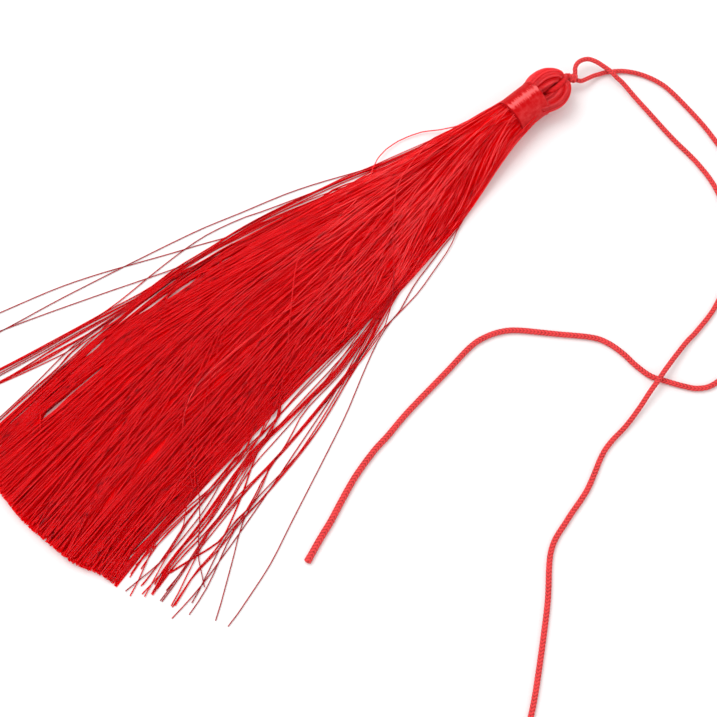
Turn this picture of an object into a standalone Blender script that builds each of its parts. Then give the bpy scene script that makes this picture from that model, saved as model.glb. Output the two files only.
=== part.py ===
"""Silk tassel lying on a flat surface, with the two tails of its hanging cord.

Metres, +Z up, +X from the cut ends towards the head. The origin is on the surface, under the
middle of the tassel. A hank of thread is folded over a cord: its fold is the crown, a wound
binding grips it just below, and the cut threads fan out and lie on the surface. The cord runs
through the eye of the fold, is knotted close to the crown, and its two tails lie loose.
"""

import math
import random

import bmesh
import bpy
from mathutils import Matrix, Vector

MM = 0.001

# Driving dimensions
SKIRT_LENGTH = 135.5 * MM       # thread from the binding to its cut end
STRAY_LENGTH = 129.0 * MM       # the same for a stray thread, which is bowed
BINDING_LENGTH = 7.2 * MM
BINDING_RADIUS = 4.25 * MM
BINDING_EDGE = 0.12 * MM        # rounding of the binding's ends
NECK_RADIUS = 3.55 * MM         # the hank inside the binding
HEAD_HEIGHT = 4.15 * MM         # axis of the head above the surface
CORD_RADIUS = 0.62 * MM
GAP = 0.3 * MM                  # between pieces that touch
TAIL_PITCH = 10.0 * MM          # between points of a tail's tube on a straight run
TAIL_BEND_STEP = math.radians(26)
SEED = 11

# The head: its axis starts where the skirt leaves the binding
NECK = Vector((59.2 * MM, -5.7 * MM, HEAD_HEIGHT))
HEAD_YAW = math.radians(-4.0)

# The eye of the fold, measured along the head's axis, and the folded hank's section round it
EYE_ALONG = 9.4 * MM
FOLD_RADIUS = 2.4 * MM          # from the eye to the middle of the folded hank
FOLD_HALF_WIDTH = 2.1 * MM
FOLD_HALF_HEIGHT = 3.95 * MM
FOLD_SIDES = 20
FOLD_TURNS = 10
BIGHT_HALF_HEIGHT = 3.45 * MM   # the cord's loop round the fold
BIGHT_OPENING = math.radians(40)    # half the angle of the loop that stays open, to the knot
BIGHT_TURNS = 22
BIGHT_END_ALONG = 14.0 * MM     # the loop's ends, beside the knot
BIGHT_END_HEIGHT = 0.95 * MM
GROOVE_RADIUS = 1.00 * MM       # the bed that the cord's loop has pulled into the fold

# One leg of the fold, from inside the binding to beside the eye.
# along, aside, size (mm, mm, share of the folded hank's section)
FOLD_LEG = (
    (4.4, 1.15, 0.72),
    (7.4, 1.60, 0.84),
    (8.4, 2.25, 0.98),
)

# The knot lies on the line from the crown to the cord's tails
KNOT_CENTRE = Vector((75.15 * MM, -7.7 * MM, 3.5 * MM))
KNOT_YAW = math.radians(-43.0)
KNOT_HALF_LENGTH = 1.15 * MM
KNOT_RADIUS = 1.05 * MM
KNOT_RIDGE = 0.12 * MM
KNOT_RIDGE_TWIST = 2.2          # turn of a ridge from the knot's middle to its end, half turns
KNOT_END_SHARE = 0.55           # radius of its ends, against its middle
KNOT_FULLNESS = 0.6             # below 1, the knot stays thick towards its ends
KNOT_STATIONS = 12
KNOT_SIDES = 20

# The backing that the strands are fused to: reach is measured from the binding to the cut ends,
# and is negative inside the binding and the crown.
# reach, half_width, low, high (mm)
BACKING = (
    (-8.5, 1.0, 3.1, 5.2),
    (-8.1, 2.3, 1.8, 6.5),
    (-7.0, 3.55, 0.6, 7.7),
    (0.4, 3.55, 0.6, 7.7),
    (2.0, 4.4, 0.35, 8.0),
    (4.0, 5.1, 0.25, 7.8),
    (8.0, 6.3, 0.2, 7.3),
    (12.0, 7.5, 0.12, 6.6),
    (15.0, 7.7, 0.3, 5.9),
    (17.0, 5.7, 0.9, 4.8),
)
BACKING_SIDES = 40
BACKING_RIDGE = 0.09 * MM        # bundles of thread that show on the backing's skin

# The fan of strands, at the stations where each strand has a section.
# reach, centre, half_width, low, thickness (mm)
FAN = (
    (10.0, -4.6, 6.2, 0.45, 6.0),
    (32.0, -4.2, 11.7, 0.0, 4.4),
    (60.0, -1.3, 16.8, 0.0, 3.4),
    (95.0, 0.0, 18.7, 0.0, 3.0),
    (SKIRT_LENGTH / MM, -2.6, 19.8, 0.0, 2.7),
)
# The strands lie in level rows, lowest first. A row's fill is the share of the fan's width that
# it covers, at the root and from where the fan lies flat.
# strands, root_fill, flat_fill
ROWS = (
    (46, 0.64, 1.00),
    (46, 0.90, 1.00),
    (46, 0.98, 1.00),
    (28, 0.88, 0.72),
    (16, 0.60, 0.45),
)
STRAND_FILL_SIDEWAYS = 0.62     # share of a strand's pitch that is thread
STRAND_FILL_UPRIGHT = 0.66
RAGGED = 1.3 * MM               # unevenness of the cut ends
STRAY_WIDTH = 0.32 * MM

# The outermost strands of the three lowest rows leave the fan's edges one after the other.
# leaves_at, spread: how far from the binding, and how far out from the edge the tip ends (mm)
LEFT_STRAYS = (
    (42.0, 26.9),
    (46.0, 24.4),
    (50.0, 20.6),
    (54.0, 16.6),
    (58.0, 13.0),
    (62.0, 9.8),
    (66.0, 7.0),
    (70.0, 4.6),
    (74.0, 2.4),
)
RIGHT_STRAYS = (
    (48.0, 23.2),
    (54.0, 19.8),
    (58.0, 16.2),
    (62.0, 13.4),
    (66.0, 10.8),
    (70.0, 8.4),
    (74.0, 6.2),
    (78.0, 4.1),
    (82.0, 2.2),
)
# The order in which the rows of an edge column leave, by the side of the fan
LEFT_STRAY_ROWS = (1, 0, 2)
RIGHT_STRAY_ROWS = (0, 2, 1)
STRAY_BOW = 1.35                # above 1, a stray turns away from the edge gently
STRAY_DROP = 2.5                # how soon a stray from an upper row comes down
STRAY_SPANS = 5

# Routes of the cord's tails, from the knot to the free end: x, y, height of the cord's middle (mm)
SHORT_ROUTE = (
    (76.5, -7.1, 3.30), (77.3, -6.3, 3.35), (78.6, -5.8, 3.30), (80.0, -6.0, 3.20),
    (81.2, -6.8, 3.10), (82.0, -8.3, 2.90), (82.5, -10.2, 2.60), (82.8, -12.2, 2.40),
    (82.8, -14.0, 2.10), (82.9, -15.9, 1.75), (82.6, -19.9, 1.10), (82.3, -23.9, 0.75),
    (81.4, -32.0, 0.65), (80.9, -40.0, 0.65), (79.5, -46.5, 0.65), (76.3, -53.0, 0.65),
    (71.4, -58.6, 0.65), (65.5, -62.9, 0.65), (58.6, -65.6, 0.65), (52.0, -66.6, 0.80),
    (48.6, -66.8, 1.10), (44.4, -67.4, 1.70), (40.3, -68.1, 2.25), (37.4, -68.7, 2.30),
    (34.4, -69.2, 2.05), (30.6, -70.0, 1.50), (25.8, -70.7, 0.90), (21.2, -70.9, 0.70),
    (17.5, -71.7, 0.65), (10.2, -74.6, 0.65), (2.7, -76.2, 0.65), (-4.3, -78.4, 0.65),
    (-12.8, -85.6, 0.65), (-24.4, -94.3, 0.65), (-31.0, -98.8, 0.65), (-38.7, -103.3, 0.65),
    (-47.4, -104.8, 0.65), (-55.6, -101.3, 0.65), (-60.3, -93.9, 0.65), (-61.2, -89.6, 0.65),
)
LONG_ROUTE = (
    (76.35, -9.25, 2.60), (78.2, -9.6, 1.90), (79.8, -9.9, 1.40), (81.3, -10.4, 0.95),
    (82.7, -11.0, 0.70), (85.6, -13.3, 0.65), (87.8, -16.5, 0.65), (89.2, -20.3, 0.65),
    (89.6, -24.3, 0.65), (88.9, -32.6, 0.65), (88.0, -37.9, 0.65), (86.2, -44.9, 0.65),
    (82.7, -52.4, 0.65), (77.1, -60.1, 0.65), (69.5, -67.3, 0.65), (60.8, -73.1, 0.65),
    (54.2, -76.2, 0.65), (49.0, -77.3, 0.65), (45.1, -76.9, 0.65), (42.6, -75.3, 0.65),
    (41.0, -73.1, 0.65), (39.2, -69.9, 0.65), (37.6, -66.7, 0.65), (37.1, -62.9, 0.65),
    (37.1, -59.2, 0.65), (36.5, -55.4, 0.65), (34.9, -52.1, 0.65), (30.0, -46.3, 0.65),
    (25.1, -40.5, 0.65), (22.2, -38.1, 0.65), (18.8, -36.6, 0.65), (15.0, -36.0, 0.65),
    (7.2, -36.5, 0.65), (-4.5, -37.3, 0.65), (-12.0, -37.9, 0.65), (-19.6, -39.1, 0.65),
    (-26.9, -41.1, 0.65), (-34.0, -43.5, 0.65), (-41.0, -45.7, 0.65),
)


# Scene helpers

def clear_scene():
    for old in list(bpy.data.objects):
        bpy.data.objects.remove(old, do_unlink=True)


def new_collection(name):
    collection = bpy.data.collections.new(name)
    bpy.context.scene.collection.children.link(collection)
    return collection


def thread_material(name, colour, roughness):
    material = bpy.data.materials.new(name)
    material.use_nodes = True
    shader = material.node_tree.nodes["Principled BSDF"]
    shader.inputs["Base Color"].default_value = (*colour, 1.0)
    shader.inputs["Roughness"].default_value = roughness
    shader.inputs["Metallic"].default_value = 0.0
    return material


def place(name, data, collection, parent=None):
    """A new object for the given mesh or curve, in its parent's frame."""
    obj = bpy.data.objects.new(name, data)
    collection.objects.link(obj)
    obj.parent = parent
    return obj


def as_guide(obj):
    obj.hide_render = True
    obj.display_type = "WIRE"
    return obj


def add_boolean(obj, operation, operand):
    modifier = obj.modifiers.new(f"{operation.lower()} {operand.name}", "BOOLEAN")
    modifier.operation = operation
    modifier.solver = "EXACT"
    modifier.object = operand


def finish_mesh(bm, name):
    bmesh.ops.recalc_face_normals(bm, faces=bm.faces)
    mesh = bpy.data.meshes.new(name)
    bm.to_mesh(mesh)
    bm.free()
    return mesh


def loft(bm, rings):
    """A closed solid through rings of points that have the same number of points each."""
    levels = [[bm.verts.new(point) for point in ring] for ring in rings]
    for low, high in zip(levels, levels[1:]):
        for i in range(len(low)):
            j = (i + 1) % len(low)
            bm.faces.new((low[i], low[j], high[j], high[i]))
    bm.faces.new(levels[0])
    bm.faces.new(levels[-1])


# Curves

def smooth_points(route, steps):
    """Points on a Catmull-Rom curve through the route, a few for each of its spans."""
    ends = (2 * route[0] - route[1], 2 * route[-1] - route[-2])
    line = [ends[0], *route, ends[1]]
    points = []
    for a, b, c, d in zip(line, line[1:], line[2:], line[3:]):
        for k in range(steps):
            t = k / steps
            points.append(0.5 * (2 * b + (c - a) * t + (2 * a - 5 * b + 4 * c - d) * t ** 2
                                 + (3 * b - a - 3 * c + d) * t ** 3))
    return [*points, route[-1]]


def thinned_points(points, straight_pitch, bend_step):
    """The same line with fewer points: one at each pitch on a straight run, more in a bend."""
    costs = [0.0]
    for a, b, c in zip(points, points[1:], points[2:]):
        turn = (b - a).angle(c - b)
        costs.append(costs[-1] + (b - a).length / straight_pitch + turn / bend_step)
    costs.append(costs[-1] + (points[-1] - points[-2]).length / straight_pitch)
    count = math.ceil(costs[-1])
    kept = [next(i for i, cost in enumerate(costs) if cost >= costs[-1] * k / count - 1e-9)
            for k in range(count + 1)]
    return [points[i] for i in kept]


def tube_curve(name, points, radius, cyclic=False, bevel_resolution=2):
    curve = bpy.data.curves.new(name, "CURVE")
    curve.dimensions = "3D"
    curve.bevel_depth = radius
    curve.bevel_resolution = bevel_resolution
    curve.use_fill_caps = not cyclic
    spline = curve.splines.new("POLY")
    spline.points.add(len(points) - 1)
    for spline_point, point in zip(spline.points, points):
        spline_point.co = (*point, 1.0)
    spline.use_cyclic_u = cyclic
    return curve


def curve_to_mesh(obj):
    """The evaluated curve as a mesh object in the same place, its caps welded."""
    evaluated = obj.evaluated_get(bpy.context.evaluated_depsgraph_get())
    mesh = bpy.data.meshes.new_from_object(evaluated)
    mesh.name = obj.name
    bm = bmesh.new()
    bm.from_mesh(mesh)
    bmesh.ops.remove_doubles(bm, verts=bm.verts, dist=1e-7)
    bmesh.ops.recalc_face_normals(bm, faces=bm.faces)
    bm.to_mesh(mesh)
    bm.free()
    solid = bpy.data.objects.new(obj.name, mesh)
    obj.users_collection[0].objects.link(solid)
    solid.matrix_world = obj.matrix_world.copy()
    bpy.data.objects.remove(obj, do_unlink=True)
    return solid


# The fan

def between(table, column, reach):
    """A column of a table whose first column is the reach, read off on straight lines."""
    for a, b in zip(table, table[1:]):
        if reach <= b[0]:
            break
    share = min(1.0, max(0.0, (reach - a[0]) / (b[0] - a[0])))
    return a[column] + (b[column] - a[column]) * share


def fan_side(reach):
    """The middle of the fan, or of the head's axis inside the binding, in mm."""
    if reach < 0:
        return NECK.y / MM + reach * math.tan(-HEAD_YAW)
    root = FAN[0]
    if reach < root[0]:
        return NECK.y / MM + (root[1] - NECK.y / MM) * reach / root[0]
    return between(FAN, 1, reach)


def from_fan(reach, side, height):
    """A point given in mm: reach from the binding, side and height as in the part's frame."""
    return Vector((NECK.x - reach * MM, side * MM, height * MM))


def station_section(station, row, place_in_row):
    """A strand's level section at one of the fan's stations: side, bottom, width, height in mm."""
    reach, centre, half_width, low, thickness = FAN[station]
    strands, root_fill, flat_fill = ROWS[row]
    flatness = min(1.0, (reach - FAN[0][0]) / (FAN[2][0] - FAN[0][0]))
    half = half_width * (root_fill + (flat_fill - root_fill) * flatness)
    pitch = 2 * half / strands
    rise = thickness / len(ROWS)
    stagger = 0.25 if row % 2 else -0.25
    side = centre - half + (place_in_row + 0.5 + stagger) * pitch
    return (side, low + row * rise, STRAND_FILL_SIDEWAYS * pitch, STRAND_FILL_UPRIGHT * rise)


def strand_section(reach, row, place_in_row):
    """The section at any reach, on straight lines between the fan's stations."""
    station = 0
    while station < len(FAN) - 2 and reach > FAN[station + 1][0]:
        station += 1
    near, far = FAN[station][0], FAN[station + 1][0]
    share = (reach - near) / (far - near)
    sections = (station_section(station, row, place_in_row),
                station_section(station + 1, row, place_in_row))
    return [a + (b - a) * share for a, b in zip(*sections)]


def section_corners(reach, side, bottom, width, height):
    sides = (side - width / 2, side + width / 2)
    return [from_fan(reach, sides[0], bottom), from_fan(reach, sides[1], bottom),
            from_fan(reach, sides[1], bottom + height), from_fan(reach, sides[0], bottom + height)]


def cut_reach(length, side):
    """How far a straight thread of that length reaches when it ends at that side."""
    across = side * MM - NECK.y
    return math.sqrt(length ** 2 - across ** 2) / MM


def lock_rings(row, place_in_row, chance):
    rings = []
    for station in range(len(FAN) - 1):
        section = station_section(station, row, place_in_row)
        rings.append(section_corners(FAN[station][0], *section))
    section = station_section(len(FAN) - 1, row, place_in_row)
    end = cut_reach(SKIRT_LENGTH, section[0]) - chance.random() * RAGGED / MM
    rings.append(section_corners(end, *section))
    return rings


def stray_rings(row, place_in_row, hand, leaves_at, spread):
    """A strand that leaves the edge of the fan, thins to one thread and comes down level."""
    tip_side = strand_section(SKIRT_LENGTH / MM, row, place_in_row)[0] + hand * spread
    end = cut_reach(STRAY_LENGTH, tip_side)
    reaches = [station[0] for station in FAN if station[0] < leaves_at - 1]
    reaches += [leaves_at + (end - leaves_at) * k / STRAY_SPANS for k in range(STRAY_SPANS + 1)]
    rings = []
    for reach in reaches:
        side, bottom, width, height = strand_section(reach, row, place_in_row)
        free = max(0.0, (reach - leaves_at) / (end - leaves_at))
        side += hand * spread * free ** STRAY_BOW
        bottom *= max(0.0, 1.0 - STRAY_DROP * free)
        if reach >= leaves_at:
            width, height = min(width, STRAY_WIDTH / MM), min(height, STRAY_WIDTH / MM)
        rings.append(section_corners(reach, side, bottom, width, height))
    return rings


def strands_mesh():
    chance = random.Random(SEED)
    strays = {}
    edges = ((1, LEFT_STRAYS, LEFT_STRAY_ROWS), (-1, RIGHT_STRAYS, RIGHT_STRAY_ROWS))
    for hand, table, rows in edges:
        for rank, (leaves_at, spread) in enumerate(table):
            row = rows[rank % len(rows)]
            column = rank // len(rows)
            place_in_row = ROWS[row][0] - 1 - column if hand > 0 else column
            strays[row, place_in_row] = (hand, leaves_at, spread)
    bm = bmesh.new()
    for row, (count, *_) in enumerate(ROWS):
        for place_in_row in range(count):
            if (row, place_in_row) in strays:
                loft(bm, stray_rings(row, place_in_row, *strays[row, place_in_row]))
            else:
                loft(bm, lock_rings(row, place_in_row, chance))
    return finish_mesh(bm, "strands")


def backing_mesh():
    """The hank where its threads lie tight: through the binding and just past it."""
    rings = []
    for reach, half_width, low, high in BACKING:
        middle = (low + high) / 2
        ring = []
        for k in range(BACKING_SIDES):
            angle = 2 * math.pi * k / BACKING_SIDES
            ridge = 0.0
            if 0 < reach:
                ridge = -BACKING_RIDGE / MM * (k % 2)
            side = fan_side(reach) + (half_width + ridge) * math.cos(angle)
            rise = ((high - low) / 2 + ridge) * math.sin(angle)
            ring.append(from_fan(reach, side, middle + rise))
        rings.append(ring)
    bm = bmesh.new()
    loft(bm, rings)
    return finish_mesh(bm, "tassel_hank")


# The head

def fold_solid(head, guides):
    """The folded hank: an upright oval section carried round the eye."""
    section = bpy.data.curves.new("fold_section", "CURVE")
    section.dimensions = "2D"
    oval = section.splines.new("POLY")
    oval.points.add(FOLD_SIDES - 1)
    for k, point in enumerate(oval.points):
        angle = 2 * math.pi * (k + 0.5) / FOLD_SIDES
        across = FOLD_HALF_WIDTH * math.cos(angle)
        point.co = (across, FOLD_HALF_HEIGHT * math.sin(angle), 0.0, 1.0)
    oval.use_cyclic_u = True
    section_object = as_guide(place("fold_section", section, guides))

    path = [(along * MM, -aside * MM, size) for along, aside, size in FOLD_LEG]
    for k in range(FOLD_TURNS + 1):
        angle = -math.pi / 2 + math.pi * k / FOLD_TURNS
        along = EYE_ALONG + FOLD_RADIUS * math.cos(angle)
        path.append((along, FOLD_RADIUS * math.sin(angle), 1.0))
    path += [(along * MM, aside * MM, size) for along, aside, size in reversed(FOLD_LEG)]

    curve = bpy.data.curves.new("fold", "CURVE")
    curve.dimensions = "3D"
    curve.twist_mode = "Z_UP"
    curve.bevel_mode = "OBJECT"
    curve.bevel_object = section_object
    curve.use_fill_caps = True
    spline = curve.splines.new("POLY")
    spline.points.add(len(path) - 1)
    for point, (along, aside, size) in zip(spline.points, path):
        point.co = (along, aside, 0.0, 1.0)
        point.radius = size
    fold = place("fold", curve, guides, head)
    bpy.context.view_layer.update()
    solid = curve_to_mesh(fold)
    bpy.data.objects.remove(section_object, do_unlink=True)
    return as_guide(solid)


def bight_point(angle, half_height):
    """A point of the cord's loop round the fold, in the head's frame; 0 faces the knot."""
    along = EYE_ALONG + FOLD_RADIUS + FOLD_RADIUS * math.cos(angle)
    return Vector((along, 0.0, half_height * math.sin(angle)))


def groove_solid(head, guides):
    sides = 28
    ring = [bight_point(2 * math.pi * k / sides, BIGHT_HALF_HEIGHT) for k in range(sides)]
    curve = tube_curve("groove", ring, GROOVE_RADIUS, cyclic=True, bevel_resolution=3)
    groove = place("groove", curve, guides, head)
    bpy.context.view_layer.update()
    return as_guide(curve_to_mesh(groove))


def make_hank(parts, guides, head, material):
    hank = place("tassel_hank", backing_mesh(), parts)
    add_boolean(hank, "UNION", fold_solid(head, guides))
    add_boolean(hank, "DIFFERENCE", groove_solid(head, guides))
    strands = as_guide(place("strands", strands_mesh(), guides))
    add_boolean(hank, "UNION", strands)
    hank.data.materials.append(material)


def cylinder(name, collection, head, radius, start, length, sides):
    """A cylinder along the head's axis."""
    bm = bmesh.new()
    bmesh.ops.create_cone(bm, cap_ends=True, segments=sides, radius1=radius, radius2=radius,
                          depth=length)
    turn = Matrix.Rotation(math.pi / 2, 4, "Y")
    shift = Matrix.Translation((start + length / 2, 0.0, 0.0))
    bmesh.ops.transform(bm, matrix=shift @ turn, verts=bm.verts)
    return place(name, finish_mesh(bm, name), collection, head)


def make_binding(parts, guides, head, material):
    sides = 48
    binding = cylinder("binding", parts, head, BINDING_RADIUS, 0.0, BINDING_LENGTH, sides)
    edge = binding.modifiers.new("rounded edges", "BEVEL")
    edge.width = BINDING_EDGE
    edge.segments = 2
    bore_overrun = 1.0 * MM
    bore = cylinder("binding_bore", guides, head, NECK_RADIUS + GAP, -bore_overrun,
                    BINDING_LENGTH + 2 * bore_overrun, sides)
    add_boolean(binding, "DIFFERENCE", as_guide(bore))
    block = 20 * MM
    bm = bmesh.new()
    bmesh.ops.create_cube(bm, size=block)
    below = Matrix.Translation((0.0, 0.0, -HEAD_HEIGHT - block / 2))
    bmesh.ops.transform(bm, matrix=below, verts=bm.verts)
    under = as_guide(place("surface_below", finish_mesh(bm, "surface_below"), guides, head))
    add_boolean(binding, "DIFFERENCE", under)
    binding.data.materials.append(material)


def make_bight(parts, head, material):
    """The cord's loop: out of the knot, over the fold, down the eye, under the fold and back."""
    loop = [Vector((BIGHT_END_ALONG, 0.0, BIGHT_END_HEIGHT))]
    for k in range(BIGHT_TURNS + 1):
        angle = BIGHT_OPENING + (2 * math.pi - 2 * BIGHT_OPENING) * k / BIGHT_TURNS
        loop.append(bight_point(angle, BIGHT_HALF_HEIGHT))
    loop.append(Vector((BIGHT_END_ALONG, 0.0, -BIGHT_END_HEIGHT)))
    curve = tube_curve("cord_bight", loop, CORD_RADIUS)
    curve.materials.append(material)
    place("cord_bight", curve, parts, head)


def make_knot(parts, material):
    """A tight overhand knot of both strands, ridged where they cross its face."""
    rings = []
    for k in range(KNOT_STATIONS + 1):
        along = -1 + 2 * k / KNOT_STATIONS
        fullness = max(0.0, math.cos(along * math.pi / 2)) ** KNOT_FULLNESS
        swell = KNOT_END_SHARE + (1 - KNOT_END_SHARE) * fullness
        ring = []
        for j in range(KNOT_SIDES):
            angle = 2 * math.pi * j / KNOT_SIDES
            ridge = KNOT_RIDGE * math.cos(2 * angle + KNOT_RIDGE_TWIST * math.pi * along)
            radius = KNOT_RADIUS * swell + ridge
            ring.append(Vector((along * KNOT_HALF_LENGTH, radius * math.cos(angle),
                                radius * math.sin(angle))))
        rings.append(ring)
    bm = bmesh.new()
    loft(bm, rings)
    knot = place("knot", finish_mesh(bm, "knot"), parts)
    knot.location = KNOT_CENTRE
    knot.rotation_euler.z = KNOT_YAW
    knot.data.materials.append(material)


def make_tail(name, route, parts, material):
    points = smooth_points([Vector(point) * MM for point in route], 12)
    line = thinned_points(points, TAIL_PITCH, TAIL_BEND_STEP)
    curve = tube_curve(name, line, CORD_RADIUS)
    curve.materials.append(material)
    place(name, curve, parts)


def main():
    clear_scene()
    parts = new_collection("silk_tassel")
    guides = new_collection("guides")
    silk = thread_material("red_silk", (0.66, 0.012, 0.022), 0.42)
    wound = thread_material("red_binding", (0.72, 0.014, 0.026), 0.32)
    braid = thread_material("red_braid", (0.62, 0.035, 0.045), 0.5)

    head = bpy.data.objects.new("head", None)
    parts.objects.link(head)
    head.location = NECK
    head.rotation_euler.z = HEAD_YAW

    make_hank(parts, guides, head, silk)
    make_binding(parts, guides, head, wound)
    make_bight(parts, head, braid)
    make_knot(parts, braid)
    make_tail("cord_tail_short", SHORT_ROUTE, parts, braid)
    make_tail("cord_tail_long", LONG_ROUTE, parts, braid)


main()
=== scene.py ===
"""Silk tassel on a pale surface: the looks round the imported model.

Laid out as an add-on. Each operator makes one piece or one group of like pieces from the sizes
and colours in the settings, and the panel lists the operators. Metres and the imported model's
own axes throughout: +X runs from the cut ends towards the crown, and +Z is up.
"""

import math
import random
from collections import namedtuple

import bmesh
import bpy
import numpy as np
from mathutils import Matrix, Vector


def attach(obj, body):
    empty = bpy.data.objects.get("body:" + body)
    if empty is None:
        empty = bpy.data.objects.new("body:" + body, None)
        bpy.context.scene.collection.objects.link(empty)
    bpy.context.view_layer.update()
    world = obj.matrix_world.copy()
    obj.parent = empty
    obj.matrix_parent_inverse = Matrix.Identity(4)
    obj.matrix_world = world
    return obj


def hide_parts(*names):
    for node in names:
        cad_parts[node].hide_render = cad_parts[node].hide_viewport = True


bl_info = {
    "name": "Silk Tassel",
    "version": (1, 0, 0),
    "blender": (4, 5, 0),
    "location": "3D View > Sidebar > Tassel",
    "description": "Dresses a laid-out silk tassel with its threads, binding and braided cord",
    "category": "Object",
}

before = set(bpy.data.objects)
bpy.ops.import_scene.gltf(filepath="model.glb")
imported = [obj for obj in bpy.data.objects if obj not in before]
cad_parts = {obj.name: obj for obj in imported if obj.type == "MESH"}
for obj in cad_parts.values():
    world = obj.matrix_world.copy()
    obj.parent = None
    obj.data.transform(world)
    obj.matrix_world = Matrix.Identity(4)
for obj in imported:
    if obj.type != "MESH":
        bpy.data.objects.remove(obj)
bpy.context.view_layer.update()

MM = 0.001
BODY = "root"
SEED = 23
TAU = 2 * math.pi

# Where the skirt leaves the binding, and how the head is turned
NECK = Vector((59.2 * MM, -5.4 * MM, 4.15 * MM))
HEAD_YAW = math.radians(-4.0)
HEAD = Matrix.Translation(NECK) @ Matrix.Rotation(HEAD_YAW, 4, "Z")

# The dense part of the skirt as it lies: how far from the binding, its two edges and its
# thickness.
# reach, left, right, thickness (mm)
FAN = (
    (-3, -1.5, -9.6, 6.9),
    (0, -1.2, -9.8, 7.1),
    (5, 0, -10.3, 7.2),
    (12, 1.8, -11.6, 6.4),
    (18, 3.4, -12.8, 5.8),
    (25, 5.2, -14.4, 5.1),
    (33, 7.7, -15, 4.6),
    (41, 10, -16, 4.2),
    (47, 11.6, -16.5, 3.9),
    (60, 15.2, -16.4, 3.6),
    (72, 18, -16.4, 3.4),
    (90, 20.6, -18.2, 3.1),
    (106, 20.5, -19.2, 2.9),
    (120, 19.8, -20.1, 2.8),
    (136, 19.2, -22.9, 2.6),
)

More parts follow.
